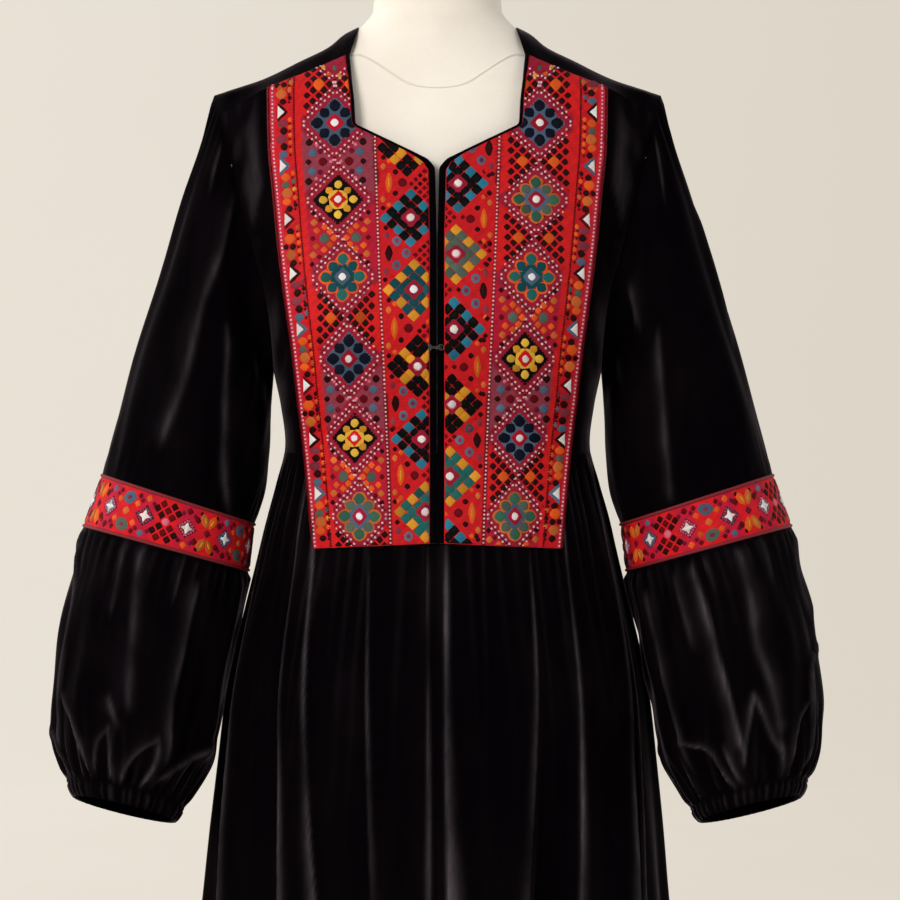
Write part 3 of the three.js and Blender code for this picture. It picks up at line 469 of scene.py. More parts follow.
# A panel between two places round the waist: the garment's form raised by its folds, by small gathers
# that fade below the waist and by unevenness, all flatter near the seams, and drawn in at each seam.
def skirtNet(first, last, columns):
    down = np.linspace(0, 1, skirt["rows"]) ** 1.25  # rows lie closer near the waist
    levels = mix(skirt["top"], skirt["hem"], down)
    z, degrees = np.meshgrid(levels, np.linspace(first, last, columns), indexing="ij")
    base = roundPoint(degrees, z)
    outward = bodyNormal(base)
    fromWaist = skirt["top"] - z
    small = gathers(degrees / 360, fromWaist, ridgeTable(64, 11, 0.0045, 2.2, 120), 0.004)
    soft = 1.5 * unevenness(degrees / 50, z / 700, 5) * ramp(0, 180, fromWaist)
    edge = ramp(0, 2.0, degrees - first) * ramp(0, 2.0, last - degrees)
    reach, paintedHighlight = foldReach(degrees, z)
    height = reach + (small * ramp(2, 30, fromWaist) + soft) * mix(0.25, 1, edge)
    outer = base + outward * height[..., None]
    along = roundPoint(degrees + 0.5, z) - roundPoint(degrees - 0.5, z)
    along = along / np.linalg.norm(along, axis=-1, keepdims=True)
    inward = skirt["seamInset"] * (1.0 * (degrees == first) - 1.0 * (degrees == last))
    outer = outer + along * inward[..., None]
    # Painted highlight: the small gathers are a little lighter on their ridges below the waist.
    paintedHighlight = np.clip(paintedHighlight + 0.06 * small * ramp(0, 40, fromWaist), 0, 1.3)
    return outer, outer - outward * skirt["thick"], paintedHighlight


for name, (first, last, columns, size) in skirtPanels.items():
    outer, inner, paintedHighlight = skirtNet(first, last, columns)
    cloth = makeWall(name + "_cloth", outer, inner, velvetCloth, [name], flatNet(outer),
                     thread=paintedHighlight)
    area = min(clothArea(outer) * 1.02, size[0] * size[1])
    print(name, "of", round(area, 4), "square metres of velvet")


bodice = {"base": 1047.93, "underarm": 1121, "thick": 2.0, "seamGap": 0.5, "rows": 112, "columns": 48}
slit = {"closed": 1226, "top": 1292, "gapBelow": 0.3, "halfOpening": 1.75}
armholeLine = np.array([
    (1122, 143.4, 144), (1140, 144, 145.6), (1162, 146, 148), (1191, 150.5, 154), (1224, 160, 163),
    (1259, 169.5, 172.5), (1292, 177.5, 180), (1320, 186, 187), (1343, 190.5, 191), (1362, 196, 196),
])
neckCorner, neckPoint = (70.5, 1330.5), (77.0, 1395.0)
shoulderSeam = np.array([(77, 1395), (148.4, 1364.6), (190.4, 1342.9)])


# Height of the forward shoulder seam above a distance from the middle.
def seamLevel(x):
    return np.interp(x, shoulderSeam[:, 0], shoulderSeam[:, 1])


# The side seam up to the underarm, then the armhole.
def panelEdge(z, behind=False):
    armhole = curve(armholeLine[:, 0], armholeLine[:, 2 if behind else 1], z)
    return np.where(z <= bodice["underarm"] + 0.3, bodyLine("wide", z), armhole)


# The open edge of a front half in the flat, from the slit's foot up round the neck to the shoulder
# seam: straight runs between its corners, softened over a few millimetres.
def neckEdge(foot=971.0, soften=1.8, step=1.0):
    firstTurn = (slit["halfOpening"], slit["top"])
    corners = np.array([(slit["gapBelow"], foot), (slit["gapBelow"], slit["closed"]), firstTurn,
                        (8.0, 1299.5), neckCorner, (71.8, 1353), neckPoint])
    lengths = np.concatenate([[0], np.linalg.norm(np.diff(corners, axis=0), axis=1).cumsum()])
    at = np.linspace(0, lengths[-1], int(lengths[-1] / step) + 1)
    line = np.stack([np.interp(at, lengths, corners[:, k]) for k in (0, 1)], 1)
    reach = np.arange(-12, 13)
    weight = np.exp(-0.5 * (reach * step / soften) ** 2)
    ends = np.concatenate([np.repeat(line[:1], 12, 0), line, np.repeat(line[-1:], 12, 0)])
    soft = np.stack([np.convolve(ends[:, k], weight / weight.sum(), "valid") for k in (0, 1)], 1)
    soft[[0, -1]] = line[[0, -1]]
    return soft


# A line beside another in the flat, towards the cloth.
def beside(line, distance):
    along = np.gradient(line, axis=0)
    along = along / np.linalg.norm(along, axis=1, keepdims=True)
    return line + distance * np.stack([along[:, 1], -along[:, 0]], 1)


edgeLine = neckEdge()


# How far from the middle the open edge lies.
def frontLeft(z):
    return np.interp(z, edgeLine[:, 1], edgeLine[:, 0])


# A soft crease laid over a flat place: exp(-(across / width)^2) faded along its length, from one point
# to another, a ridge where the depth is positive.
def crease(x, z, start, end, width, depth):
    start, end = np.array(start, float), np.array(end, float)
    length = np.linalg.norm(end - start)
    way = (end - start) / length
    along = ((x - start[0]) * way[0] + (z - start[1]) * way[1]) / length
    across = -(x - start[0]) * way[1] + (z - start[1]) * way[0]
    fade = np.exp(-((along - 0.5) / 0.42) ** 4)
    swell = width * (0.6 + 0.8 * np.clip(along, 0, 1))
    return depth * fade * np.exp(-(across / swell) ** 2)


# Creases of a front's side strip: from, to, width and depth.
frontCreases = [
    ((146, 1128), (132, 1196), 4.5, 1.5), ((150, 1180), (139, 1290), 7, -1.4),
    ((160, 1250), (152, 1345), 8, 1.6), ((124, 1040), (132, 1118), 5, 1.5),
    ((136, 1052), (124, 1096), 4, -1.3), ((141, 1100), (128, 1150), 5, -1.2),
]
# Creases of one half of the back, which the other half mirrors.
backCreases = [
    ((140, 1130), (60, 1230), 9, 2.0), ((150, 1190), (80, 1300), 10, -1.8),
    ((120, 1050), (96, 1180), 7, 2.2), ((60, 1050), (48, 1160), 7, -1.8),
    ((90, 1048), (74, 1130), 5, 1.8), ((30, 1290), (96, 1352), 10, 1.5), ((24, 1048), (18, 1150), 6, 1.6),
]


# A front half between its open edge and its side seam or armhole, up to the forward shoulder seam. Its
# creases and unevenness lie only on the free strip outside the bib.
def addFront(name, side):
    t, v = np.meshgrid(np.linspace(0, 1, bodice["columns"]), np.linspace(0, 1, bodice["rows"]))
    top = seamLevel(mix(frontLeft(neckPoint[1]), shoulderSeam[-1, 0], t)) - bodice["seamGap"] / 2
    z = mix(bodice["base"], top, v)
    x = mix(frontLeft(z), panelEdge(z), t)
    base = bodyPoint(x, z, -1)
    outward = bodyNormal(base)
    free = ramp(3, 14, x - bibEdge(z)) * ramp(0, 6, panelEdge(z) - x)
    height = sum(crease(x, z, *one) for one in frontCreases) * free
    height = height + 0.5 * unevenness(x / 40, z / 130, 21) * free
    flip = np.array([side, 1, 1])
    outer = (base + outward * height[..., None]) * flip
    inner = outer - outward * flip * bodice["thick"]
    node = f"bodice_front_{name}"
    # Painted highlight: the free strip's velvet is lighter on the ridges of its creases.
    cloth = makeWall(node + "_cloth", outer, inner, velvetCloth, [node], flatNet(outer),
                     thread=np.clip(0.22 * height, 0, 0.8) * free)
    area = clothArea(outer) * 1.01
    print("bodice front", name, "of", round(area, 4), "square metres")


bibLine = np.array([
    (960, 105.5), (1006, 109.6), (1050, 114), (1094, 119), (1138, 123.6), (1182, 129.8), (1226, 136),
    (1270, 141), (1314, 145.6), (1365, 147.4),
])


# Half width of the bib, on the curve through its line.
def bibEdge(z):
    return curve(bibLine[:, 0], bibLine[:, 1], z)


# Height of the shoulder line above a distance from the middle, read back from the levels' half widths.
def shoulderLine(x):
    z = np.linspace(1343, 1423, 400)
    return np.interp(-np.asarray(x, float), -bodyLine("wide", z), z)


# A smooth net through rows of points, with several rows to each span: a Catmull-Rom curve down each column.
def loft(rows, perSpan):
    rows = np.asarray(rows)
    before = np.concatenate([2 * rows[:1] - rows[1:2], rows[:-1]])
    after = np.concatenate([rows[1:], 2 * rows[-1:] - rows[-2:-1]])
    slope = (after - before) / 2
    t = (np.arange(perSpan) / perSpan)[None, :, None, None]
    a, b, sa, sb = (q[:, None] for q in (rows[:-1], rows[1:], slope[:-1], slope[1:]))
    net = (a * (2 * t**3 - 3 * t**2 + 1) + sa * (t**3 - 2 * t**2 + t)
           + b * (3 * t**2 - 2 * t**3) + sb * (t**3 - t**2))
    return np.concatenate([net.reshape(-1, *rows.shape[1:]), rows[-1:]])


# Rows over the shoulder: side, place beside the neck, place at the tip and share of the way down from the
# shoulder line, on the fourth to the forward seam.
overShoulder = [(1, 70, 194.7, 0.26), (-1, 69.5, 196, 0), (-1, 72, 194.6, 0.26), (-1, 77, 190.4, 1)]


# The back, up over the shoulders to the forward seam. Either side of the neck its top rows pass over
# the shoulder line; between them it ends at the back neckline.
def addBack():
    corner, seamX, dropBack = 0.365, 191, 19.1
    half = np.concatenate([np.linspace(0.03, corner, 12), np.linspace(corner, 1, 34)[1:]])
    columns = np.concatenate([-half[::-1], [0], half])
    share = np.abs(columns)
    sideways = np.maximum(share, corner)
    atNeck = shoulderLine(corner * seamX) - dropBack
    neckline = mix(1396, atNeck, (share / corner) ** 2)
    top = np.where(share >= corner, shoulderLine(sideways * seamX) - dropBack, neckline)
    levels = 90
    rise = np.linspace(0, 1, levels)[:, None]
    z = mix(bodice["base"], top[None], rise)
    x = columns[None] * panelEdge(z, True)
    inward = panelEdge(z, True) - np.abs(x)
    height = sum(crease(np.abs(x), z, *one) for one in backCreases) * ramp(0, 10, inward)
    height = height + 0.8 * unevenness(x / 90, z / 150, 33) * ramp(0, 12, inward)
    height = height * ramp(0, 25, top[None] - z)
    low = bodyPoint(x, z, 1)
    across = (sideways - corner) / (1 - corner)
    rows = [low[-8], low[-1]]
    for side, neckX, tipX, drop in overShoulder:
        overX = mix(neckX, tipX, across)
        ridge = shoulderLine(overX)
        seamZ = seamLevel(mix(neckPoint[0], shoulderSeam[-1, 0], across)) + bodice["seamGap"] / 2
        end = ridge - dropBack if side > 0 else seamZ
        point = bodyPoint(overX, mix(ridge, end, drop), side)
        rows.append(point * np.stack([np.sign(columns), np.ones_like(columns), np.ones_like(columns)], 1))
    over = loft(rows, 5)[6:]
    base = np.concatenate([low, over])
    outward = bodyNormal(base)
    height = np.concatenate([height, np.zeros(over.shape[:2])])
    outer = base + outward * height[..., None]
    inner = outer - outward * bodice["thick"]
    cell = np.ones((len(base) - 1, len(columns) - 1), bool)
    inNeck = np.minimum(share[:-1], share[1:]) < corner - 1e-9
    cell[levels - 1:, inNeck] = False
    cloth = makeWall("bodice_back_cloth", outer, inner, velvetCloth, ["bodice_back"],
                     flatNet(outer), keep=cell)
    area = clothArea(outer[:levels]) + 0.008  # with what lies over the two shoulders
    print("bodice back of", round(area, 4), "square metres")


for name, side in sides:
    addFront(name, side)
addBack()


# Rings round a sleeve: x and z of the side away from the body, x and z of the side next to it, half
# depth, y of the middle and pitch in degrees.
upperRings = [
    (209, 1318, 145.6, 1099, 46, 1, 0), (223, 1275, 146.6, 1078, 57, 0, 0),
    (241, 1215, 147.8, 1048, 64, -1, 0), (267, 1130, 151.5, 1014, 67, -3, 1),
    (294.4, 1028, 161, 985, 70, -5, 2),
]
lowerRings = [
    (310, 984, 166, 945, 74, -7, 3), (320, 953, 170, 922, 76, -10, 5),
    (332.5, 898, 178.5, 877, 78, -17, 8), (339, 842, 187, 830, 76, -26, 10),
    (338.5, 812, 192, 802, 74, -31, 11), (334, 789, 198, 776, 68, -35, 12),
    (321.6, 764, 220, 740, 50, -40, 13),
]
bandRings = [upperRings[-1], lowerRings[0]]
cuffRings = [lowerRings[-1], (316, 749, 227, 728, 45, -42, 13)]
sleeve = {"around": 220, "rows": 12, "thick": 2.0, "piping": 2.8, "gap": 0.04, "headGap": 0.1,
          "armholeMiddle": 1241.5, "armholeHalf": 120.5}


# A ring: its middle + across * cos + deep * sin, moved along the sleeve, and the way along.
def ringAt(ring, angle, along=0.0):
    outerX, outerZ, innerX, innerZ, depth, y, pitch = ring
    pitch = np.radians(pitch)
    middle = np.array([(outerX + innerX) / 2, y, (outerZ + innerZ) / 2])
    across = np.array([(outerX - innerX) / 2, 0, (outerZ - innerZ) / 2])
    deep = depth * np.array([0, -np.cos(pitch), np.sin(pitch)])
    down = np.cross(across, deep)
    down = down / np.linalg.norm(down) * (-np.sign(down[2]))
    return middle + across * np.cos(angle)[:, None] + deep * np.sin(angle)[:, None] + down * along


# Even angles round a sleeve, from its outer side.
def sleeveAngles():
    return turn * np.arange(sleeve["around"]) / sleeve["around"]


# The armhole as a ring: the height swings between the shoulder tip and the underarm.
def armholeRing(angle):
    z = sleeve["armholeMiddle"] + sleeve["armholeHalf"] * np.cos(angle)
    front = angle <= np.pi
    edge = np.where(front, panelEdge(z), panelEdge(z, True))
    ring = bodyPoint(edge, z, np.where(front, -1, 1))
    offBody = np.array([1, 0, -0.2]) / np.hypot(1, 0.2)
    return ring + offBody * sleeve["headGap"]


# Outward direction of a tube's net: away from the middle of each of its rings.
def tubeNormal(net):
    normal = netNormal(net, True)
    outward = net - net.mean(1, keepdims=True)
    return normal * np.sign((normal * outward).sum(-1).mean())


# Where round a sleeve (0 to 1) and how far from its upper seam each point of a net lies.
def aroundAndAlong(net):
    along = np.linalg.norm(np.diff(net, axis=0, prepend=net[:1]), axis=-1).cumsum(0)
    return np.linspace(0, 1, net.shape[1], endpoint=False)[None] + 0 * along, along


# A velvet tube of a sleeve: the net raised by a height, with a wall inside, on the left or mirrored to
# the right. Its weave follows a flat pattern 520 mm round, and its painted highlight goes in the "thread"
# colour.
def addTube(node, net, height, side, flat, paintedHighlight):
    outward = tubeNormal(net)
    flip = np.array([side, 1, 1])
    outer = (net + outward * height[..., None]) * flip
    inner = (net + outward * (height[..., None] - sleeve["thick"])) * flip
    around, along = aroundAndAlong(net)
    cloth = makeWall(node + "_cloth", outer, inner, velvetCloth, [node],
                     np.stack([520 * around, along], -1), wrap=True, thread=paintedHighlight)
    area = min(clothArea(outer, True), flat[0] * flat[1])
    print(node, "of", round(area, 4), "square metres of velvet")


# Longer folds of the sleeves: place round it, width, depth and the shares of the way down where each
# one starts and ends.
upperFolds = [
    (0.94, 0.03, 3.0, -0.1, 0.85), (0.04, 0.022, 2.4, -0.1, 0.7), (0.12, 0.028, 3.4, 0.0, 1.1),
    (0.2, 0.024, 2.6, 0.1, 0.8), (0.27, 0.03, 3.6, 0.2, 1.1), (0.35, 0.026, 3.2, 0.05, 0.9),
    (0.43, 0.03, 2.6, 0.3, 1.1), (0.56, 0.034, 3.0, 0.1, 1.0), (0.68, 0.03, 3.2, 0.0, 0.9),
    (0.77, 0.028, 2.8, 0.2, 1.1), (0.86, 0.03, 3.2, 0.0, 1.0),
]
lowerFolds = [
    (0.03, 0.026, 4.0, 0.1, 1.0), (0.1, 0.022, 3.4, 0.2, 1.0), (0.165, 0.026, 4.6, 0.1, 1.0),
    (0.235, 0.02, 3.6, 0.25, 1.0), (0.3, 0.026, 4.4, 0.05, 1.0), (0.37, 0.022, 3.8, 0.2, 1.0),
    (0.44, 0.028, 3.6, 0.15, 1.0), (0.53, 0.03, 3.8, 0.1, 1.0), (0.62, 0.026, 4.2, 0.2, 1.0),
    (0.7, 0.028, 4.0, 0.1, 1.0), (0.79, 0.024, 3.6, 0.25, 1.0), (0.87, 0.028, 4.4, 0.1, 1.0),
    (0.95, 0.022, 3.6, 0.2, 1.0),
]


# Long folds: depth * their shape across, between their start and end, with a slow drift.
def longFolds(around, share, folds):
    height = 0
    for number, (place, width, depth, start, end) in enumerate(folds):
        apart = shareApart(around, place + 0.012 * np.sin(2.6 * share + number * 1.7))
        fade = ramp(start - 0.15, start + 0.25, share) * (1 - ramp(end - 0.25, end + 0.15, share))
        height = height + depth * fade * ridgeShape(apart, width, 1.9 * width, 0.4)
    return height


# Creases of a tube, each given by places (round it, down it), half width, depth, the strength of its
# painted highlight and how narrow its steep side is, which lies further round where that share is positive.
# Height is depth * fade * exp(-(across / side)^2), and the painted highlight is a narrow light line beside
# the ridge with a wider and weaker one about it.
def handCreases(around, share, charts, wide, tall):
    height = paintedHighlight = 0 * around
    for places, width, depth, highlightStrength, steep in charts:
        places = np.array(places)
        start, end = places[0, 1], places[-1, 1]
        middle = curve(places[:, 1], places[:, 0], share)
        slant = (curve(places[:, 1], places[:, 0], share + 0.01) - middle) * wide / (0.01 * tall)
        across = shareApart(around, middle) * wide / np.sqrt(1 + slant**2) * np.sign(steep)
        fade = ramp(start - 0.03, start + 0.05, share) * (1 - ramp(end - 0.05, end + 0.03, share))
        side = np.where(across > 0, width * abs(steep), width)
        height = height + depth * fade * np.exp(-(across / side) ** 2)
        # Painted highlight: a narrow light line beside the ridge, with a wider and weaker one about it.
        highlightWidth = np.where(across > 0, 0.5 * width * abs(steep), 0.22 * width + 0.5)
        beyond = np.where(across > 0, highlightWidth, 0.65 * width)
        along = 0.75 + 0.25 * np.sin(share * 23 + start * 40)
        line = np.exp(-np.abs(across / highlightWidth) ** 1.5) + 0.28 * np.exp(-np.abs(across / beyond) ** 1.5)
        paintedHighlight = paintedHighlight + 0.68 * highlightStrength * fade * along * line
    return height, paintedHighlight


lowerCreases = {
    "right": [
        (((0.03, 0.03), (0.085, 0.25), (0.095, 0.42), (0.097, 0.58), (0.085, 0.86)), 7, 3.0, 0.6, 0.4),
        (((0.218, 0.02), (0.24, 0.3), (0.256, 0.68)), 10, 3.0, 0.4, -0.5),
        (((0.337, 0.1), (0.336, 0.36), (0.333, 0.55), (0.339, 0.86)), 12, 4.0, 0.6, 0.3),
        (((0.188, 0.0), (0.195, 0.3)), 5, 1.6, 0.4, 0.5),
        (((0.224, 0.0), (0.228, 0.12)), 4, 1.2, 0.35, -0.5),
        (((0.301, 0.0), (0.3, 0.2)), 4, 1.4, 0.4, 0.5),
        (((0.102, 0.66), (0.135, 0.75), (0.155, 0.85), (0.167, 0.97)), 6, 3.5, 1.0, -0.4),
        (((0.218, 0.64), (0.237, 0.74)), 9, 3.0, 0.8, 0.4),
        (((0.218, 0.76), (0.221, 0.85), (0.231, 0.98)), 6, 4.0, 0.8, -0.4),
        (((0.218, 0.76), (0.196, 0.83), (0.184, 0.96)), 6, 3.5, 0.5, 0.4),
        (((0.312, 0.76), (0.282, 0.82), (0.26, 0.9), (0.25, 0.98)), 7, 4.0, 0.7, 0.4),
        (((0.312, 0.76), (0.315, 0.86), (0.301, 0.98)), 7, 4.0, 1.0, -0.4),
        (((0.455, 0.72), (0.378, 0.83), (0.333, 0.94)), 9, 4.0, 0.7, -0.4),
        (((0.045, 0.78), (0.09, 0.93)), 6, 3.0, 0.6, 0.4),
    ],
    "left": [
        (((0.407, 0.1), (0.407, 0.24), (0.404, 0.45), (0.398, 0.65), (0.385, 0.88)), 6, 2.5, 0.45, 0.4),
        (((0.337, 0.06), (0.333, 0.38)), 11, 3.0, 0.45, 0.5),
        (((0.3, 0.05), (0.295, 0.2), (0.291, 0.4), (0.282, 0.6), (0.264, 0.83)), 10, 4.0, 1.1, -0.25),
        (((0.277, 0.03), (0.273, 0.16)), 4, 1.5, 0.4, 0.5),
        (((0.161, 0.0), (0.162, 0.2)), 4, 1.5, 0.45, 0.5),
        (((0.214, 0.03), (0.215, 0.22), (0.221, 0.42), (0.208, 0.55), (0.19, 0.8)), 14, 4.0, 0.6, 0.4),
        (((0.05, 0.02), (0.078, 0.18), (0.06, 0.36)), 12, 3.0, 0.45, 0.5),
        (((0.04, 0.46), (0.102, 0.56), (0.108, 0.68), (0.097, 0.95)), 6, 3.5, 0.7, 0.4),
        (((0.11, 0.68), (0.148, 0.76), (0.16, 0.93)), 6, 3.2, 0.6, -0.4),
        (((0.395, 0.74), (0.33, 0.8), (0.318, 0.88), (0.3, 0.98)), 6, 4.0, 1.0, 0.4),
        (((0.239, 0.62), (0.225, 0.7), (0.211, 0.78), (0.19, 0.86)), 8, 4.0, 0.8, 0.4),
        (((0.239, 0.62), (0.25, 0.72), (0.266, 0.9)), 7, 4.0, 0.9, -0.4),
        (((0.19, 0.82), (0.18, 0.9), (0.174, 0.98)), 9, 3.0, 0.9, 0.4),
        (((0.3, 0.8), (0.29, 0.9), (0.275, 0.98)), 7, 3.0, 0.8, 0.4),
    ],
}
upperCreases = {
    "right": [
        (((0.2, 0.05), (0.215, 0.2), (0.206, 0.4), (0.211, 0.62), (0.2, 0.85)), 12, 3.0, 0.5, 0.4),
        (((0.27, 0.33), (0.299, 0.58), (0.333, 0.84), (0.375, 1.0)), 11, 3.0, 0.5, -0.4),
        (((0.13, 0.02), (0.14, 0.14)), 6, 1.5, 0.5, 0.5),
    ],
    "left": [
        (((0.29, 0.1), (0.285, 0.3)), 10, 3.0, 0.5, 0.4),
        (((0.03, 0.3), (0.06, 0.65)), 8, 2.0, 0.6, -0.5),
        (((0.25, 0.4), (0.28, 0.7), (0.31, 0.97)), 12, 3.0, 0.45, -0.4),
        (((0.12, 0.02), (0.15, 0.16)), 6, 1.5, 0.5, 0.5),
    ],
}


# A sleeve's creases as charted in front, with the other sleeve's behind, turned about.
def bothSides(charts, name, around, share, wide, tall):
    other = {"left": "right", "right": "left"}[name]
    front, highlightFront = handCreases(around, share, charts[name], wide, tall)
    back, highlightBack = handCreases(1 - around, share, charts[other], wide, tall)
    inFront = ramp(0.55, 0.48, around) * ramp(-0.02, 0.02, around)
    # Heights of the creases, and their painted highlight.
    return front * inFront + back * (1 - inFront), highlightFront * inFront + highlightBack * (1 - inFront)


# The upper sleeve from the armhole to the band: gathers at its head and a few at the band, with folds and
# creases between, shallower next to the body.
def addUpperSleeve(name, side, angle, seed):
    rows = [armholeRing(angle)] + [ringAt(ring, angle) for ring in upperRings[:-1]]
    net = loft(rows + [ringAt(upperRings[-1], angle, -sleeve["piping"] / 2 - sleeve["gap"])], sleeve["rows"])
    around, along = aroundAndAlong(net)
    left = along[-1] - along
    share = along / along[-1]
    nearTip = 0.5 + 0.5 * np.cos(turn * around)
    atHead = gathers(around, along, ridgeTable(15, seed, 0.011, 2.2, 46, -0.2, 0.22), 0.004)
    atBand = gathers(around, left, ridgeTable(34, seed + 1, 0.009, 1.1, 26), 0.003)
    free = ramp(0, 30, along) * ramp(0, 22, left)
    clearOfBody = 1 - 0.75 * ramp(0.36, 0.5, around) * (1 - ramp(0.5, 0.64, around))
    creases, paintedHighlight = bothSides(upperCreases, name, around, share, 430, 300)
    loose = 0.8 * longFolds(around, share, upperFolds) + creases + 0.8 * unevenness(around * 6, share, seed)
    height = atHead * nearTip**2 * ramp(0, 9, along) + atBand * ramp(0, 8, left) + free * clearOfBody * loose
    # Painted highlight of its creases, faded in below the armhole.
    addTube(f"sleeve_upper_{name}", net, height, side, (0.50, 0.38), paintedHighlight * ramp(0, 12, along))


# The lower sleeve from the band to the cuff: gathered at both, a little flat on its outer side, and with
# two soft swellings below the band on the side next to the body.
def addLowerSleeve(name, side, angle, seed):
    rows = [ringAt(lowerRings[0], angle, sleeve["piping"] / 2 + sleeve["gap"])]
    rows = rows + [ringAt(ring, angle) for ring in lowerRings[1:-1]]
    net = loft(rows + [ringAt(lowerRings[-1], angle, -sleeve["gap"] / 2)], sleeve["rows"])
    around, along = aroundAndAlong(net)
    left = along[-1] - along
    share = along / along[-1]
    atBand = gathers(around, along, ridgeTable(42, seed + 2, 0.0075, 2.2, 46), 0.005) * ramp(0, 7, along)
    atCuff = gathers(around, left, ridgeTable(30, seed + 3, 0.010, 4.2, 46), 0.010) * ramp(0, 10, left)
    free = ramp(0, 45, along) * ramp(6, 60, left)
    creases, paintedHighlight = bothSides(lowerCreases, name, around, share, 470, 250)
    loose = 0.75 * longFolds(around, share, lowerFolds) + 1.2 * unevenness(around * 5, share, seed + 4)
    flattened = -4.5 * free * (0.5 + 0.5 * np.cos(turn * around)) ** 2
    inFront = 5.0 * ramp(0, 16, along) * ramp(20, 90, left) * np.exp(-((around - 0.43) / 0.03) ** 2)
    nextToBody = 3.2 * np.clip(1 - along / 62, 0, 1) * ramp(0, 6, along)
    nextToBody = nextToBody * np.exp(-((around - 0.5) / 0.05) ** 2)
    height = atBand + atCuff + free * loose + (flattened + inFront + nextToBody)
    height = height + creases * ramp(0, 12, along) * ramp(0, 12, left)
    # Painted highlight: the gathers at band and cuff are a little lighter on their ridges.
    paintedHighlight = paintedHighlight + 0.05 * np.clip(atBand + 0.6 * atCuff, 0, 6)
    addTube(f"sleeve_lower_{name}", net, height, side, (0.60, 0.26), np.clip(paintedHighlight, 0, 1.3))


# The cuff: a narrow casing puckered over its elastic, fuller in its middle, with a stitched line above.
def addCuff(name, side, angle, seed):
    net = loft([ringAt(cuffRings[0], angle, sleeve["gap"] / 2), ringAt(cuffRings[1], angle)], 10)
    around, along = aroundAndAlong(net)
    share = along / along[-1]
    crown = 1.2 * np.sin(np.pi * share) ** 0.7 - 1.0 * np.exp(-((share - 0.2) / 0.07) ** 2)
    pucker = gathers(around, along, ridgeTable(44, seed + 5, 0.0075, 1.5, 60), 0.003)
    pucker = pucker * np.sin(np.pi * np.clip(share, 0.02, 0.98)) ** 0.5
    # Painted highlight: the puckers are lighter on their ridges.
    addTube(f"cuff_{name}", net, crown + pucker, side, (0.30, 0.018), np.clip(0.16 * pucker, 0, 0.5))


for (name, side), seed in zip(sides, (3, 7)):
    addUpperSleeve(name, side, sleeveAngles(), seed)
    addLowerSleeve(name, side, sleeveAngles(), seed)
    addCuff(name, side, sleeveAngles(), seed)


# How far the form lies inside the velvet's inner face, by height.
formAir = np.array([
    (806, 34), (900, 20), (1000, 13), (1060, 10), (1119, 6), (1160, 3), (1241, 5), (1315, 7), (1343, 7),
    (1361, 5.4), (1376, 4.1), (1392, 3.7), (1423, 2.6),
])
# Neck of the form: height, half width, front, back, y.
neckLevels = [(1431, 59.5, 54, 55, 3), (1446, 56, 52.5, 54, 4), (1472, 54.5, 52, 53, 5),
              (1484, 52.5, 50.5, 51.5, 5), (1489, 47, 45, 46, 5), (1491, 38, 36, 37, 5)]
# Colours of the linen cover, and the darker seam colour, a painted shade under the neck seam.
formCover = {"around": 100, "foot": 806, "seamFront": 1366, "seamRise": 44,
             "linen": tone(246, 238, 226), "shade": tone(236, 226, 211), "seam": tone(160, 142, 120)}


# Triangles from pairs of neighbours on a ring to one point, as quads with the last corner twice.
def fan(first, second, tip):
    return np.stack([first, second, 0 * first + tip, 0 * first + tip], 1)


# Closed tube of rings with its two ends shut by fans to their middles.
def makeSolid(name, net, material, nodes, sharp=50, shade=None):
    rows, columns = net.shape[:2]
    quads = netQuads(rows, columns, True)
    points = np.concatenate([net.reshape(-1, 3), net[:1].mean(1), net[-1:].mean(1)])
    c = np.arange(columns)
    n = (c + 1) % columns
    low, high = rows * columns, rows * columns + 1
    last = (rows - 1) * columns
    quads = np.concatenate([quads, fan(n, c, low), fan(last + c, last + n, high)])
    if shade is not None:
        shade = np.concatenate([shade.ravel(), [0, 0]])[:, None] * np.ones(3)
    makePiece(name, points, quads, material, nodes, colour=shade, sharp=sharp)


# Linen: two crossed weaves and a slow cloud, with painted shade in the groove under the seam, carried in the
# "thread" colour.
def linenMaterial():
    paint = Paint("formCover")
    where = paint.place()
    weaveA = paint.noise(paint.scaled(where, (900, 900, 160)), 1.0, 2.0)
    weaveB = paint.noise(paint.scaled(where, (160, 160, 900)), 1.0, 2.0)
    cloud = paint.noise(where, 9.0, 3.0)
    fine = (weaveA + weaveB) * 0.5
    share = (cloud * 0.75 + fine * 0.25).step(0.3, 0.68)
    plain = paint.blend(share, formCover["shade"], formCover["linen"])
    return paint.set(colour=paint.blend(paint.carried("Fac"), plain, formCover["seam"]),
                     rough=0.78 + 0.12 * fine,
                     normal=paint.bump(fine, 0.05, 0.0005), specular=0.22, sheen=0.12, sheenRough=0.5)


linenCover = linenMaterial()


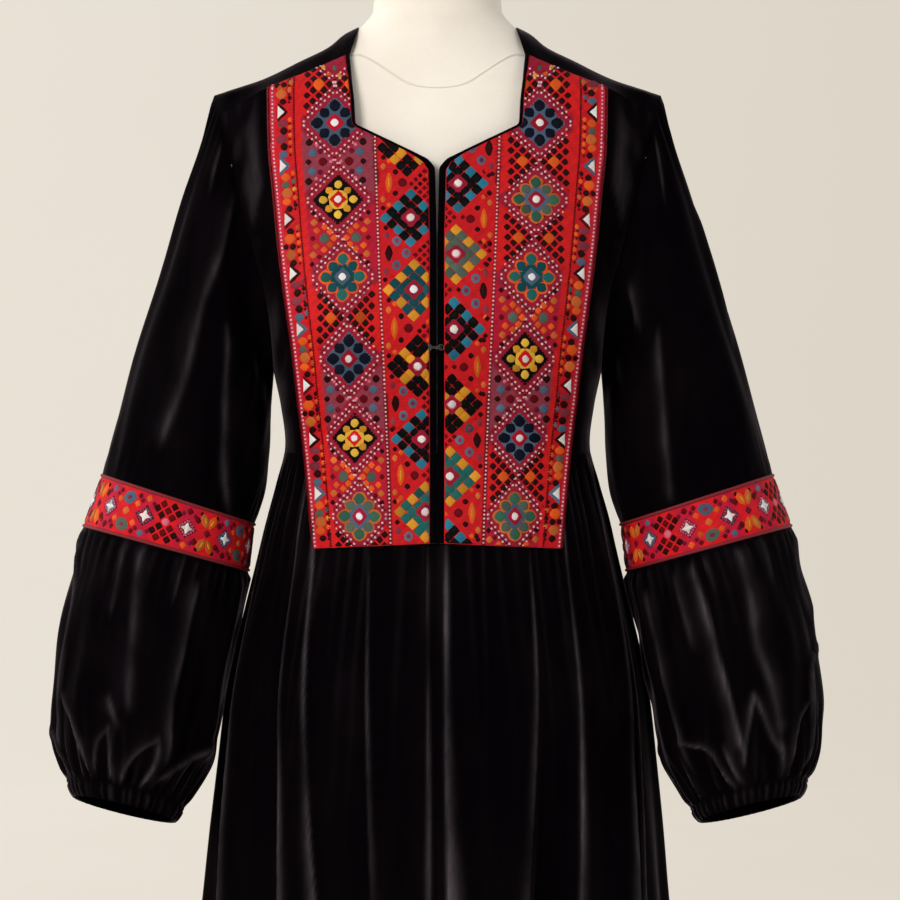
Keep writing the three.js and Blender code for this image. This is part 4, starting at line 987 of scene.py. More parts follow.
# The torso lies inside the velvet by the table's air; a low seam ridge runs round the neck's root,
# rising from the front as 44 (1 - exp(-1.1 (|x| / 64)^2.4)), and the rows of the net follow it.
def addForm():
    degrees = np.linspace(0, 360, formCover["around"], endpoint=False)
    spans = ((formCover["foot"], 1300, 50), (1306, 1360, 19), (1361, 1371, 21), (1373, 1414, 14))
    levels = np.concatenate([np.linspace(*span) for span in spans])  # closest together at the seam
    level, around = np.meshgrid(levels, degrees, indexing="ij")
    z, inFront = level, np.cos(np.radians(around)) > 0
    for _ in range(8):
        share = np.where(inFront, np.minimum(np.abs(roundPoint(around, z)[..., 0]) / 64, 1.1), 1.1)
        rise = formCover["seamRise"] * (1 - np.exp(-1.1 * share**2.4))
        z = mix(z, level + rise * np.interp(level, [1306, formCover["seamFront"], 1414], [0, 1, 0]), 0.5)
    air = curve(formAir[:, 0], formAir[:, 1], z) + bodice["thick"]
    base = roundPoint(around, z)
    torso = base - bodyNormal(base) * air[..., None]
    torso[0, :, 2] = formCover["foot"]
    angle = np.radians(degrees)
    neck = []
    for height, wide, front, back, y in neckLevels:
        deep = np.where(np.cos(angle) > 0, front, back)
        neck.append(np.stack([wide * np.sin(angle), y - deep * np.cos(angle), height + 0 * angle], -1))
    joined = loft([torso[-10], torso[-1], *neck], 8)[9:]
    net = np.concatenate([torso, joined])
    rim = formBottomRim(net[0])
    net = np.concatenate([rim, net])
    level = np.concatenate([np.zeros(len(rim)), levels, np.full(len(joined), 1500.0)])
    across = (level[:, None] - formCover["seamFront"] + 0 * net[..., 2]) / 0.8
    ridge = 0.45 * np.exp(-across**2) - 0.3 * np.exp(-((across + 1.6) / 1.2) ** 2)
    net = net + tubeNormal(net) * ridge[..., None]
    # Painted shade: darker in the groove just under the seam ridge, carried in the "thread" colour.
    shade = 0.4 * np.exp(-((across + 1.2) / 0.8) ** 2)
    makeSolid("form_body_cover", net, linenCover, ["form_body"], shade=shade)


# The rounded lower edge of the form: rings drawn in under its foot, each lifted a little.
def formBottomRim(ring):
    middle = ring.mean(0)
    share = np.array([0.3, 0.7, 0.9, 0.97])
    drop = np.array([0.0, 0.0, 0.05, 0.35])
    inner = middle + (ring - middle) * share[:, None, None]
    inner[..., 2] = formCover["foot"] + drop[:, None]
    return inner


# Bare steel: a fine grain drawn along the scratches' scale, and darker worn places.
def steelMaterial(name, colour, rough, scratches):
    paint = Paint(name)
    where = paint.place()
    fine = paint.noise(paint.scaled(where, scratches), 1.0, 3.0)
    wear = paint.noise(where, 30.0, 4.0)
    worn = tuple(0.75 * c for c in colour)
    return paint.set(colour=paint.blend(wear.step(0.45, 0.75), colour, worn), metal=1.0,
                     rough=rough + 0.14 * fine + 0.08 * wear, normal=paint.bump(fine, 0.06, 0.0004))


# Black stoving paint: slightly uneven, with dust in it.
def paintedMaterial():
    paint = Paint("standPaint")
    where = paint.place()
    orange = paint.noise(where, 520.0, 2.0)
    dust = paint.noise(where, 24.0, 5.0)
    return paint.set(colour=paint.blend(dust.step(0.5, 0.8), tone(38, 37, 39), tone(66, 63, 61)),
                     rough=0.38 + 0.3 * dust, normal=paint.bump(orange, 0.12, 0.0004), specular=0.5)


brushedSteel = steelMaterial("brushedSteel", tone(176, 176, 180), 0.26, (400, 400, 12))
hookSteel = steelMaterial("hookSteel", tone(92, 88, 88), 0.36, (900, 900, 900))
standPaint = paintedMaterial()


# A turned piece: pairs of radius and height carried round, with every corner rounded over a little.
def addTurned(name, outline, material, node, around=128, soften=1.0):
    outline = np.array(outline, float)
    dense = [outline[:1]]
    for a, b in zip(outline[:-1], outline[1:]):
        length = np.linalg.norm(b - a)
        near = min(soften / length, 0.45)
        dense.append(a + (b - a) * np.array([near, 0.5, 1 - near])[:, None])
    dense = np.concatenate(dense + [outline[-1:]])
    angle = turn * np.arange(around) / around
    radius, z = dense[1:-1, 0][:, None], dense[1:-1, 1][:, None]
    net = np.stack([radius * np.cos(angle), radius * np.sin(angle), z + 0 * angle], -1)
    return makeSolid(name, net, material, [node], sharp=38)


# Foot and pole are turned about Z, and the collar's closed outline is carried round.
def addStand():
    foot = [(0, 0), (188, 0), (190, 2), (190, 6), (184, 10), (54, 16), (34, 22), (26, 42), (0, 42)]
    addTurned("stand_base_round", foot, standPaint, "stand_base")
    pole = [(0, 42.3), (15, 42.3), (15, 805.7), (0, 805.7)]
    addTurned("stand_pole_tube", pole, brushedSteel, "stand_pole")
    angle = turn * np.arange(128) / 128
    low, top = 779.7, 805.7
    outline = np.array([
        (15.3, low + 1), (16.3, low), (22.5, low), (25.3, low + 3), (25.3, low + 15), (27, low + 17.5),
        (35, low + 19.5), (36, low + 21), (36, top - 0.8), (35.2, top), (16, top), (15.3, top - 0.7),
    ])
    radius, z = outline[:, :1], outline[:, 1:]
    net = np.stack([radius * np.cos(angle), radius * np.sin(angle), z + 0 * angle], -1)
    rows, columns = net.shape[:2]
    quads = netQuads(rows + 1, columns, True) % (rows * columns)
    makePiece("stand_collar_ring", net, quads, standPaint, ["stand_collar"], sharp=38)


addForm()
addStand()


binding = {"width": 5.6, "neckWidth": 2.0, "under": 1.5, "thick": 2.3}
bib = {"thick": 1.8, "under": 1.5, "rows": 220, "columns": 64,
       "bottomCentre": 971.0, "bottomOuter": 966.0, "seamCentre": 1392.2, "seamOuter": 1363.4}


# The binding is full width along the slit and narrows round the neckline.
def bindingWidth(line):
    return mix(binding["width"], binding["neckWidth"], ramp(1294, 1309, line[:, 1]))[:, None]


# A rounded strip along the neck edge: its top is 2.3 (1 - |2w - 1|^2.4)^(1/2.4) above its underside.
def addBinding(name, side):
    line = edgeLine
    w = np.linspace(0, 1, 9)
    lines = np.stack([beside(line, bindingWidth(line) * share) for share in w], 1)
    lines[-1, :, 1] -= binding["neckWidth"] * w * 0.45
    base = bodyPoint(lines[..., 0], lines[..., 1], -1)
    outward = bodyNormal(base)
    crown = (1 - np.abs(2 * w - 1) ** 2.4) ** (1 / 2.4)
    uneven = 0.12 * np.sin(np.arange(len(line)) * 0.37) * np.sin(np.arange(len(line)) * 0.11 + 1)
    height = binding["under"] + 0.25 + (binding["thick"] - 0.25 + uneven[:, None]) * crown[None]
    flip = np.array([side, 1, 1])
    outer = (base + outward * height[..., None]) * flip
    inner = (base + outward * binding["under"]) * flip
    strip = makeWall(f"binding_{name}_cloth", outer, inner, velvetCloth, [f"binding_{name}"],
                     flatNet(outer), sharp=70)


bibSide = beside(edgeLine, bindingWidth(edgeLine) + 0.15)


# How far from the middle the bib begins.
def bibLeft(z):
    return np.interp(z, bibSide[:, 1], bibSide[:, 0])


# The bib in the flat by its shares across (0 beside the binding) and up (0 at the bottom edge).
def bibFlat(t, v):
    z = mix(mix(bib["bottomCentre"], bib["bottomOuter"], t), mix(bib["seamCentre"], bib["seamOuter"], t), v)
    return mix(bibLeft(z), bibEdge(z), t), z


# A place of the bib's face: the form's own point, raised by the cloth under it and by a height.
def bibPlace(x, z, height):
    base = bodyPoint(x, z, -1)
    return base + bodyNormal(base) * (bib["under"] + bib["thick"] + np.asarray(height))[..., None]


pipingRed = {"thread": tone(146, 12, 26), "shade": tone(78, 4, 14), "sheen": tone(230, 90, 100),
             "rib": 0.0011}


# Cloth of the piping: slanted ribs, sine of the way round and along over one rib's width, with painted shade
# between them.
def pipingMaterial():
    paint = Paint("pipingCloth")
    around, along, _ = paint.split(paint.place("UV"))
    ribs = ((around + along) * (turn / pipingRed["rib"])).sine() * 0.5 + 0.5
    relief = ribs * 0.6 + paint.noise(paint.place(), 700.0, 2.0) * 0.4
    # Painted shade: darker where the relief is low, between the ribs.
    return paint.set(colour=paint.blend(relief, pipingRed["shade"], pipingRed["thread"]),
                     rough=0.7, normal=paint.bump(relief, 0.35, 0.0004), sheen=0.05, sheenRough=0.4,
                     sheenTint=pipingRed["sheen"])


pipingCloth = pipingMaterial()


# Piping: a half-round cord of cloth round the sleeve that fills the seam and stands a little proud of it,
# by 0.2 + 1.2 sqrt(1 - w^2) across its width.
def addPiping(name, ring, side):
    angle = sleeveAngles()
    half = sleeve["piping"] / 2
    around = np.linspace(-1, 1, 7)
    proud = 0.2 + 1.2 * np.sqrt(np.maximum(1 - around**2, 0))
    net = np.stack([ringAt(ring, angle, half * share) for share in around])
    outward = tubeNormal(net)
    flip = np.array([side, 1, 1])
    outer = (net + outward * proud[:, None, None]) * flip
    inner = (net - outward * sleeve["thick"]) * flip
    length, width = np.meshgrid(420 * np.linspace(0, 1, len(angle), endpoint=False),
                                sleeve["piping"] * around)
    makeWall(name + "_cord", outer, inner, pipingCloth, [name], np.stack([length, width], -1),
             wrap=True, sharp=75)


# The band's two edges, just inside its pipings, at angles round the sleeve.
def bandEdges(angle):
    drawn = sleeve["piping"] / 2 + sleeve["gap"]
    shape = angle.shape + (3,)
    first = ringAt(bandRings[0], angle.ravel(), drawn).reshape(shape)
    return first, ringAt(bandRings[1], angle.ravel(), -drawn).reshape(shape)


# The band's place by its share round the sleeve and its share down between its edges, raised along the
# cross product of the ways round and down.
def bandPlace(around, share, height, side):
    angle = turn * np.asarray(around)
    share = np.asarray(share)[..., None]
    first, last = bandEdges(angle)
    point = mix(first, last, share)
    further = mix(*bandEdges(angle + 0.01), share)
    middle = mix(*(edge.mean(0) for edge in bandEdges(np.array([0, np.pi]))), share)
    outward = np.cross(further - point, last - first)
    outward = outward / np.linalg.norm(outward, axis=-1, keepdims=True)
    outward = outward * np.sign((outward * (point - middle)).sum(-1, keepdims=True))
    return (point + outward * np.asarray(height)[..., None]) * np.array([side, 1, 1])


fastener = {"height": 1138, "wire": 0.42, "clear": 0.25, "strands": 0.62, "around": 10}
# Rings of the hook and the eye: place across, height and radius.
sewingRings = [(-6.2, -1.5, 1.05), (-6.2, 1.5, 1.05)]
eyeRing = (3.5, 0, 2.25)
# The hook's wire from its back end over the slit and down into the eye: across and out of the cloth.
hookPath = np.array([
    (-6.0, 0.5), (-3.5, 0.5), (-1.6, 0.55), (-0.7, 1.25), (0.2, 1.65), (2.4, 1.65), (3.5, 1.5),
    (3.75, 1.1), (3.3, 0.75),
])


# A round wire along a path, with the given direction square to all of it: rings of its radius across
# it, the ends shut by fans or the path closed on itself. Places are across, out of the cloth and up.
def wireAlong(path, square, closed=False):
    along = np.roll(path, -1, 0) - np.roll(path, 1, 0) if closed else np.gradient(path, axis=0)
    beyond = np.cross(along / np.linalg.norm(along, axis=1, keepdims=True), square)
    count = fastener["around"]
    angle = turn * np.arange(count) / count
    across = np.cos(angle)[:, None] * beyond[:, None] + np.sin(angle)[:, None] * np.array(square)
    net = path[:, None] + fastener["wire"] * across
    rows = len(net)
    quads = netQuads(rows + closed, count, True) % (rows * count)
    if closed:
        return net.reshape(-1, 3), quads
    c, last = np.arange(count), (rows - 1) * count
    n = (c + 1) % count
    quads = np.concatenate([quads, fan(n, c, rows * count), fan(last + c, last + n, rows * count + 1)])
    return np.concatenate([net.reshape(-1, 3), path[:1], path[-1:]]), quads


# A ring of wire: its middle + radius * (cos, sin) across and up.
def wireRing(across, up, radius):
    around = turn * np.arange(20) / 20
    path = np.stack([across + radius * np.cos(around), 0.5 + 0 * around, up + radius * np.sin(around)], 1)
    return wireAlong(path, (0, 1, 0), True)


# One wire of the hook, in straight steps along its path.
def hookStrand(up):
    at = np.linspace(0, len(hookPath) - 1, 33)
    across, out = (np.interp(at, np.arange(len(hookPath)), hookPath[:, k]) for k in (0, 1))
    return wireAlong(np.stack([across, out, up + 0 * at], 1), (0, 0, 1))


# The hook, of two wires side by side with a sewing ring each, and the eye, a ring: fastened.
def addHookAndEye():
    seat = bodyPoint(0, fastener["height"], -1)
    outward = bodyNormal(seat) * (0, 1, 1)
    seat = seat + outward * (binding["under"] + binding["thick"] + fastener["clear"])
    strands = [hookStrand(up) for up in (-fastener["strands"], fastener["strands"])]
    hook = strands + [wireRing(*one) for one in sewingRings]
    for name, group in (("hook", hook), ("eye", [wireRing(*eyeRing)])):
        starts = np.cumsum([0] + [len(points) for points, _ in group])
        points = np.concatenate([points for points, _ in group])
        quads = np.concatenate([part + start for (_, part), start in zip(group, starts)])
        points = seat + points[:, :1] * (1, 0, 0) + points[:, 1:2] * outward + points[:, 2:] * (0, 0, 1)
        makePiece(name + "_wire", points, quads, hookSteel, [name], sharp=60)


addHookAndEye()
for name, side in sides:
    addBinding(name, side)
    addPiping(f"piping_upper_{name}", bandRings[0], side)
    addPiping(f"piping_lower_{name}", bandRings[1], side)


thread = {
    "ground": tone(196, 18, 26), "red": tone(206, 22, 24), "crimson": tone(176, 16, 44),
    "darkRed": tone(104, 6, 16), "wine": tone(46, 3, 10), "maroon": tone(112, 18, 46),
    "rose": tone(160, 24, 50), "mauve": tone(140, 52, 68), "cerise": tone(196, 40, 62),
    "pink": tone(226, 112, 136), "palePink": tone(240, 186, 190), "orange": tone(232, 92, 30),
    "copper": tone(206, 104, 48), "gold": tone(222, 150, 42), "yellow": tone(236, 184, 66),
    "teal": tone(34, 104, 98), "darkTeal": tone(16, 74, 80), "green": tone(54, 98, 78),
    "greyGreen": tone(84, 100, 88), "navy": tone(10, 16, 32), "black": tone(5, 3, 5),
    "greyBlue": tone(84, 104, 128), "blue": tone(40, 122, 148), "white": tone(246, 238, 232),
}


# Cloth of the bib and bands: stitches side by side in wavering rows, with painted shade between them.
def groundMaterial():
    paint = Paint("embroideryGround")
    base = paint.carried("Color")
    across, up, _ = paint.split(paint.place("UV"))
    stitches = (across * (turn / 0.0009)).sine() * 0.5 + 0.5
    rows = (up * (turn / 0.0028) + (across * (turn / 0.0018)).sine() * 1.2).sine() * 0.5 + 0.5
    grain = paint.noise(paint.place(), 900.0, 2.0)
    cloud = paint.noise(paint.place(), 60.0, 3.0)
    relief = stitches * 0.5 + rows * 0.3 + grain * 0.4
    # Painted shade: the thread's colour darkened where the stitches' relief is low, with a slow random cloud
    # mixed in.
    dark = paint.blend(0.34, base, (0.0, 0.0, 0.0))
    share = (relief * 0.6 + cloud * 0.5).step(0.2, 0.75)
    return paint.set(colour=paint.blend(share, dark, base), rough=0.62 + 0.15 * grain, specular=0.14,
                     normal=paint.bump(relief, 0.5, 0.0006))


embroideryGround = groundMaterial()


# Colour zones of the bib from its outer edge inwards, as shares of the way from the middle to that
# edge: dark edge, mauve stripe, a column, bright stripe, the main column, a dark line and the inner column.
bibZones = [
    (0.0, "ground"), (0.352, "darkRed"), (0.376, "ground"), (0.795, "red"), (0.835, "crimson"),
    (0.842, "ground"), (0.952, "cerise"), (0.978, "darkRed"),
]


# How far the bib's columns have narrowed at a height, 1 where the bib is widest.
def columnScale(z):
    return 0.35 + 0.65 * bibEdge(z) / 147


# Ground colours: the zones, and in the main column crimson slanted bands about the medallions, with
# the side gaps between them each in its own ground.
def zoneColour(x, z, name, jitter):
    share = x / bibEdge(z)
    colour = np.zeros(share.shape + (3,))
    for start, ground in bibZones:
        colour = np.where((share >= start)[..., None], np.array(thread[ground]), colour)
    inMain = (share > 0.376) & (share < 0.795)
    down = (bibPattern["mainTop"] - z) / bibPattern["mainPitch"]
    gaps = bibPattern[name]["gaps"]
    number = np.clip(np.floor(down + 1).astype(int), 0, len(gaps) - 1)
    ground = np.array([thread[bibPattern["gapGround"][one]] for one in gaps])[number]
    away = np.abs(x - bibPattern["mainShare"] * bibEdge(z)) / columnScale(z)
    away = away + np.abs(shareApart(down, 0)) * bibPattern["mainPitch"]
    lattice = mix(ground, np.array(thread["rose"]) * 0.85, ramp(35.6, 34.8, away)[..., None])
    colour = np.where(inMain[..., None], lattice, colour)
    return colour * (1 + 0.14 * jitter)[..., None]


# A bib half: its face is quilted by the stitches, sin * sin over their pitch, and turns in at its edges.
def addBibGround(name, side):
    t, v = np.meshgrid(np.linspace(0, 1, bib["columns"]), np.linspace(0, 1, bib["rows"]))
    x, z = bibFlat(t, v)
    edge = ramp(0, 0.012, t) * ramp(0, 0.010, 1 - t) * ramp(0, 0.004, v) * ramp(0, 0.004, 1 - v)
    quilt = 0.10 * np.sin(z * turn / 2.6) * np.sin(x * turn / 3.1) + 0.12 * unevenness(x / 30, z / 30, 9)
    outer = bibPlace(x, z, quilt - 0.7 * (1 - edge))
    inner = bibPlace(x, z, -bib["thick"] + 0 * x)
    flip = np.array([side, 1, 1])
    colour = zoneColour(x, z, name, unevenness(x / 18, z / 22, 12 if side > 0 else 13))
    cloth = makeWall(f"bib_{name}_cloth", outer * flip, inner * flip, embroideryGround,
                     [f"bib_{name}"], np.stack([x, z], -1), sharp=60, thread=colour, inside=1)
    area = clothArea(outer)
    print("bib", name, "of", round(area, 4), "square metres")


# A sleeve band: its face ribbed by the stitches, its colour crimson about the stars and red between.
def addBandGround(name, side):
    around, share = np.meshgrid(np.arange(240) / 240, np.linspace(0, 1, 23))
    edge = ramp(0, 0.05, share) * ramp(0, 0.05, 1 - share)
    ribs = 0.08 * np.sin(around * turn * 150) * np.sin(share * turn * 14)
    outer = bandPlace(around, share, 0.3 * edge + ribs, side)
    inner = bandPlace(around, share, -sleeve["thick"] + 0 * share, side)
    nearStar = np.cos(turn * (around * bandPattern["stars"] - 0.5)) * 0.5 + 0.5
    colour = mix(np.array(thread["ground"]), np.array(thread["crimson"]), ramp(0.3, 0.8, nearStar)[..., None])
    colour = 1.2 * colour * (1 + 0.14 * unevenness(around * 12, share * 2, 17 + side))[..., None]
    cloth = makeWall(f"sleeve_band_{name}_cloth", outer, inner, embroideryGround,
                     [f"sleeve_band_{name}"], np.stack([around * 460, share * bandPattern["tall"]], -1),
                     wrap=True, sharp=60, thread=colour, inside=1)
    area = min(clothArea(outer, True), 0.022)
    print("sleeve band", name, "of", round(area, 4), "square metres")


patchBase = -0.12  # the underside of a patch, sunk into its ground
# Rings of a stitched patch from its outline inwards, by its number of corners: reach and share of the rise.
patchRings = {
    8: [(1, 0), (0.74, 0.84)],
    12: [(1, 0), (0.84, 0.74), (0.5, 0.97)],
    24: [(1, 0), (0.94, 0.7), (0.7, 1), (0.35, 1)],
}


# Reach of a patch's outline at each angle: (|cos|^p + |sin|^p)^(-1/p), or a triangle where p is 0.
def outlineReach(angle, power):
    roundness = np.maximum(power, 1.0)
    reach = (np.abs(np.cos(angle)) ** roundness + np.abs(np.sin(angle)) ** roundness) ** (-1 / roundness)
    third = (angle + np.pi / 3) % (turn / 3) - np.pi / 3
    return np.where(power < 0.5, 0.62 / np.cos(third), reach)


# Faces of one patch: its rings, a fan to the middle of the top and one to the middle of the underside.
def patchFaces(rings, corners):
    ring = np.arange(corners)
    after = (ring + 1) % corners
    faces = netQuads(rings, corners, True)
    top = fan(ring + (rings - 1) * corners, after + (rings - 1) * corners, rings * corners)
    return np.concatenate([faces, top, fan(after, ring, rings * corners + 1)])


# Small raised patches of satin stitch, gathered here and made into one mesh.
class Needlework:
    def __init__(self):
        self.rows = {corners: [] for corners in patchRings}

    # Patches at flat places: half width, half height, thread, rise, turn and the power of their outline
    # |x|^p + |z|^p = 1, which is a diamond near 1 and round at 2. A power of 0 is a triangle that points
    # to -X.
    def put(self, x, z, wide, tall, colour, rise, lean=0.0, power=2.0, corners=8):
        for row in np.broadcast(x, z, wide, tall, lean):
            self.rows[corners].append((*row, rise, power, *thread[colour]))

    # All patches of one corner count: rings drawn in from the outline to a middle, on a flat underside.
    def patches(self, corners, place, keep, seed):
        rows = np.array(self.rows[corners])
        rows = rows[keep(rows[:, 0], rows[:, 1], 0.35 * np.minimum(rows[:, 2], rows[:, 3]))]
        draw = np.random.default_rng(seed + corners)
        count = len(rows)
        x, z, wide, tall, lean, rise, power = (rows[:, k, None] for k in range(7))
        rings = np.array(patchRings[corners])
        angle = turn * np.arange(corners) / corners
        wobble = 1 + draw.normal(0, 0.035, (count, 1, corners))
        reach = rings[None, :, :1] * outlineReach(angle, power[..., None]) * wobble
        a = (reach * np.cos(angle) * wide[..., None]).reshape(count, -1)
        b = (reach * np.sin(angle) * tall[..., None]).reshape(count, -1)
        a, b = (np.pad(flat, ((0, 0), (0, 2))) for flat in (a, b))  # the middles of top and underside
        share = np.concatenate([np.repeat(rings[:, 1], corners), [1, 0]])
        lift = mix(patchBase, rise, share) * (1 + 0.03 * draw.uniform(-1, 1, (count, 1)))
        cosine, sine = np.cos(lean), np.sin(lean)
        points = place(x + a * cosine - b * sine, z + a * sine + b * cosine, lift)
        starts = (len(rings) * corners + 2) * np.arange(count)[:, None, None]
        faces = (patchFaces(len(rings), corners) + starts).reshape(-1, 4)
        shade = 1 + 0.16 * draw.normal(size=(count, 1, 1)) * (draw.random((count, 1, 1)) < 0.7)
        colour = np.clip(rows[:, None, 7:] * shade + 0 * points[..., :1], 0.002, 0.95)
        return points.reshape(-1, 3), faces, np.stack([a, b], -1).reshape(-1, 2), colour.reshape(-1, 3)

    # One mesh of all patches that a test of place and margin keeps.
    def make(self, name, place, keep, seed):
        parts = [self.patches(corners, place, keep, seed) for corners in patchRings if self.rows[corners]]
        starts = np.cumsum([0] + [len(part[0]) for part in parts[:-1]])
        points, flat, colour = (np.concatenate([part[k] for part in parts]) for k in (0, 2, 3))
        faces = np.concatenate([part[1] + start for part, start in zip(parts, starts)])
        makePiece(name, points, faces, satinStitch, (), flat, colour, sharp=80)


# Satin stitch: parallel shiny threads across each patch, with painted shade in the grooves between them.
def satinMaterial():
    paint = Paint("satinStitch")
    base = paint.carried("Color")
    across, up, _ = paint.split(paint.place("UV"))
    grain = paint.noise(paint.place(), 1100.0, 2.0)
    threads = (across * (turn / 0.00055) + grain * 2.0).sine() * 0.5 + 0.5
    # Painted shade: the thread's colour darkened in the grooves between the threads.
    dark = paint.blend(0.5, base, (0.0, 0.0, 0.0))
    share = (threads * 0.5 + grain * 0.6).step(0.1, 0.8)
    return paint.set(colour=paint.blend(share, dark, base), rough=0.42 + 0.2 * grain,
                     normal=paint.bump(threads, 0.45, 0.00035), specular=0.06)


satinStitch = satinMaterial()


# Medallions of the main column: a diamond with eight petals, some with a rim, about a ring and a light
# middle.
medallions = {
    "navy": {"field": "greyBlue", "rim": "greyBlue", "petal": "navy", "small": "navy", "ring": "crimson"},
    "gold": {"field": "black", "rim": "gold", "petal": "yellow", "small": "gold", "ring": "red"},
    "teal": {"field": "crimson", "rim": "orange", "petal": "teal", "small": "darkTeal", "ring": "greyBlue"},
    "green": {"field": "darkRed", "rim": "copper", "petal": "green", "small": "greyGreen", "ring": "rose"},
}


# A diamond's outline in small rounds, evenly spaced along each of its four sides.
def diamondChain(work, x, z, wide, tall, pitch, size, colour, rise):
    tips = [(x + wide, z), (x, z + tall), (x - wide, z), (x, z - tall)]
    for (startX, startZ), (endX, endZ) in zip(tips, tips[1:] + tips[:1]):
        count = max(int(np.hypot(wide, tall) / pitch), 1)
        at = (np.arange(count) + 0.5) / count
        lean = np.arctan2(endZ - startZ, endX - startX)
        work.put(mix(startX, endX, at), mix(startZ, endZ, at), size, size, colour, rise, lean)


# Petals lie at middle + share * size, towards the tips and along the diagonals.
def medallion(work, kind, x, z, size, scale):
    design = medallions[kind]
    sizeX = size * scale
    work.put(x, z, sizeX, size, design["field"], 0.26, power=1.04, corners=24)
    if kind in ("navy", "gold"):
        diamondChain(work, x, z, sizeX, size, 2.6, 0.9, "greyBlue" if kind == "navy" else "wine", 0.45)
    else:
        inside = "greyBlue" if kind == "green" else "darkTeal"
        work.put(x, z, 0.72 * sizeX, 0.72 * size, inside, 0.5, power=1.1, corners=24)
    rimmed = kind in ("teal", "green")
    far, near, full = (0.60, 0.36, 0.72) if kind == "gold" else (0.68, 0.40, 1.0)
    for dx, dz in ((1, 0), (0, 1), (-1, 0), (0, -1)):
        spot = x + far * dx * sizeX, z + far * dz * size
        if rimmed:
            work.put(*spot, 0.315 * size, 0.315 * size, design["rim"], 0.6, power=1.5, corners=12)
        wide, tall = (0.26, 0.24) if dx else (0.24, 0.26)
        work.put(*spot, full * size * wide, full * size * tall, design["petal"], 0.95, power=1.6, corners=12)
    for dx, dz in ((1, 1), (-1, 1), (-1, -1), (1, -1)):
        spot, lean = (x + near * dx * sizeX, z + near * dz * size), np.pi / 4 * dx * dz
        if rimmed:
            work.put(*spot, 0.29 * size, 0.28 * size, design["rim"], 0.58, lean, 1.6, 12)
        work.put(*spot, full * size * 0.235, full * size * 0.225, design["small"], 0.9, lean, 1.6, 12)
    if kind == "gold":
        work.put(x, z, 0.50 * size, 0.50 * size, "yellow", 0.8, lean=np.pi / 4, power=1.3, corners=12)
    work.put(x, z, 0.40 * sizeX, 0.40 * size, design["ring"], 1.05, power=1.15, corners=12)
    work.put(x, z, 0.27 * sizeX, 0.27 * size, "pink", 1.15, power=1.3, corners=12)
    work.put(x, z, 0.20 * sizeX, 0.20 * size, "white", 1.35, power=1.6, corners=12)


# Two rows of light dots along the crossing slanted lines between the medallions, kept within the column,
# with a dark row between them.
def latticeDots(work, x, z, scale):
    for reach, shift in ((33.3, 0.25), (28.4, 0.5)):
        count = int(reach / 3.5)
        at = (np.arange(count) + shift) / count * reach
        at = at[at < bibPattern["mainHalf"] - 0.6]
        for dx, dz in ((-1, -1), (-1, 1), (1, -1), (1, 1)):
            work.put(x + dx * at * scale, z + dz * (reach - at), 1.12, 1.12, "palePink", 0.55)
    at = np.arange(0.8, bibPattern["mainHalf"], 1.9)
    for dx, dz in ((-1, -1), (-1, 1), (1, -1), (1, 1)):
        work.put(x + dx * at * scale, z + dz * (30.9 - at), 0.8, 0.8, "wine", 0.32)


# Fillings of a side gap, charted as steps in from the column's edge, steps up, size, thread and outline.
darkSquares = [(5, 0), (4, 1.02), (4, -1.02), (3, 2.05), (3, -2.05), (2, 1.02), (2, -1.02), (0.95, 0),
               (0.8, 2), (0.8, -2), (0.8, 4), (0.8, -4), (1.9, 3.1), (1.9, -3.1)]
bloomPetals = [(4.75, 0), (4.0, 1.25), (4.0, -1.25), (2.9, 2.2), (2.9, -2.2), (1.4, 1.5), (1.4, -1.5)]
gapCharts = {
    "dark": [
        (3, 0, 5.3, "orange", 1.5), (3, 0, 2.6, "copper", 1.4),
        *((a, b, 3.5, "wine", 1.15) for a, b in darkSquares),
        (0.6, 5.4, 2.3, "red", 1.3), (0.6, -5.4, 2.3, "red", 1.3),
    ],
    "mauve": [
        (3.5, 0, 4.1, "darkRed", 1.6), (1.5, 1.75, 4.2, "greyBlue", 1.25),
        (1.5, -1.75, 4.2, "greyBlue", 1.25), (0.8, 0, 2.9, "wine", 1.4), (3.0, 2.0, 2.8, "maroon", 1.5),
        (3.0, -2.0, 2.8, "maroon", 1.5), (0.9, 3.7, 3.6, "wine", 1.5), (0.9, -3.7, 3.6, "wine", 1.5),
        (2.3, 3.2, 1.8, "pink", 1.6), (2.3, -3.2, 1.8, "pink", 1.6), (5.0, 0, 1.7, "pink", 1.6),
    ],
    "bloom": [
        (2.9, 0, 4.4, "greyGreen", 2.0), *((a, b, 3.3, "orange", 1.2) for a, b in bloomPetals),
        (0.8, 3.1, 3.4, "copper", 1.3), (0.8, -3.1, 3.4, "copper", 1.3), (2.0, 3.5, 2.3, "darkRed", 1.4),
        (2.0, -3.5, 2.3, "darkRed", 1.4), (0.6, 0, 2.6, "darkRed", 1.4), (0.6, 4.8, 2.4, "wine", 1.4),
        (0.6, -4.8, 2.4, "wine", 1.4),
    ],
}


# Each patch lies 4.6 in from the column's edge and 4.6 up for each of its steps.
def gapFilling(work, kind, x, z, place, scale):
    for a, b, size, colour, power in gapCharts[kind]:
        inward = (bibPattern["mainHalf"] - 4.6 * a) * scale
        work.put(x + place * inward, z + 4.6 * b, size * (0.6 + 0.4 * scale), size, colour,
                 0.45 + 0.06 * size, power=power, corners=12 if size > 3.8 else 8)


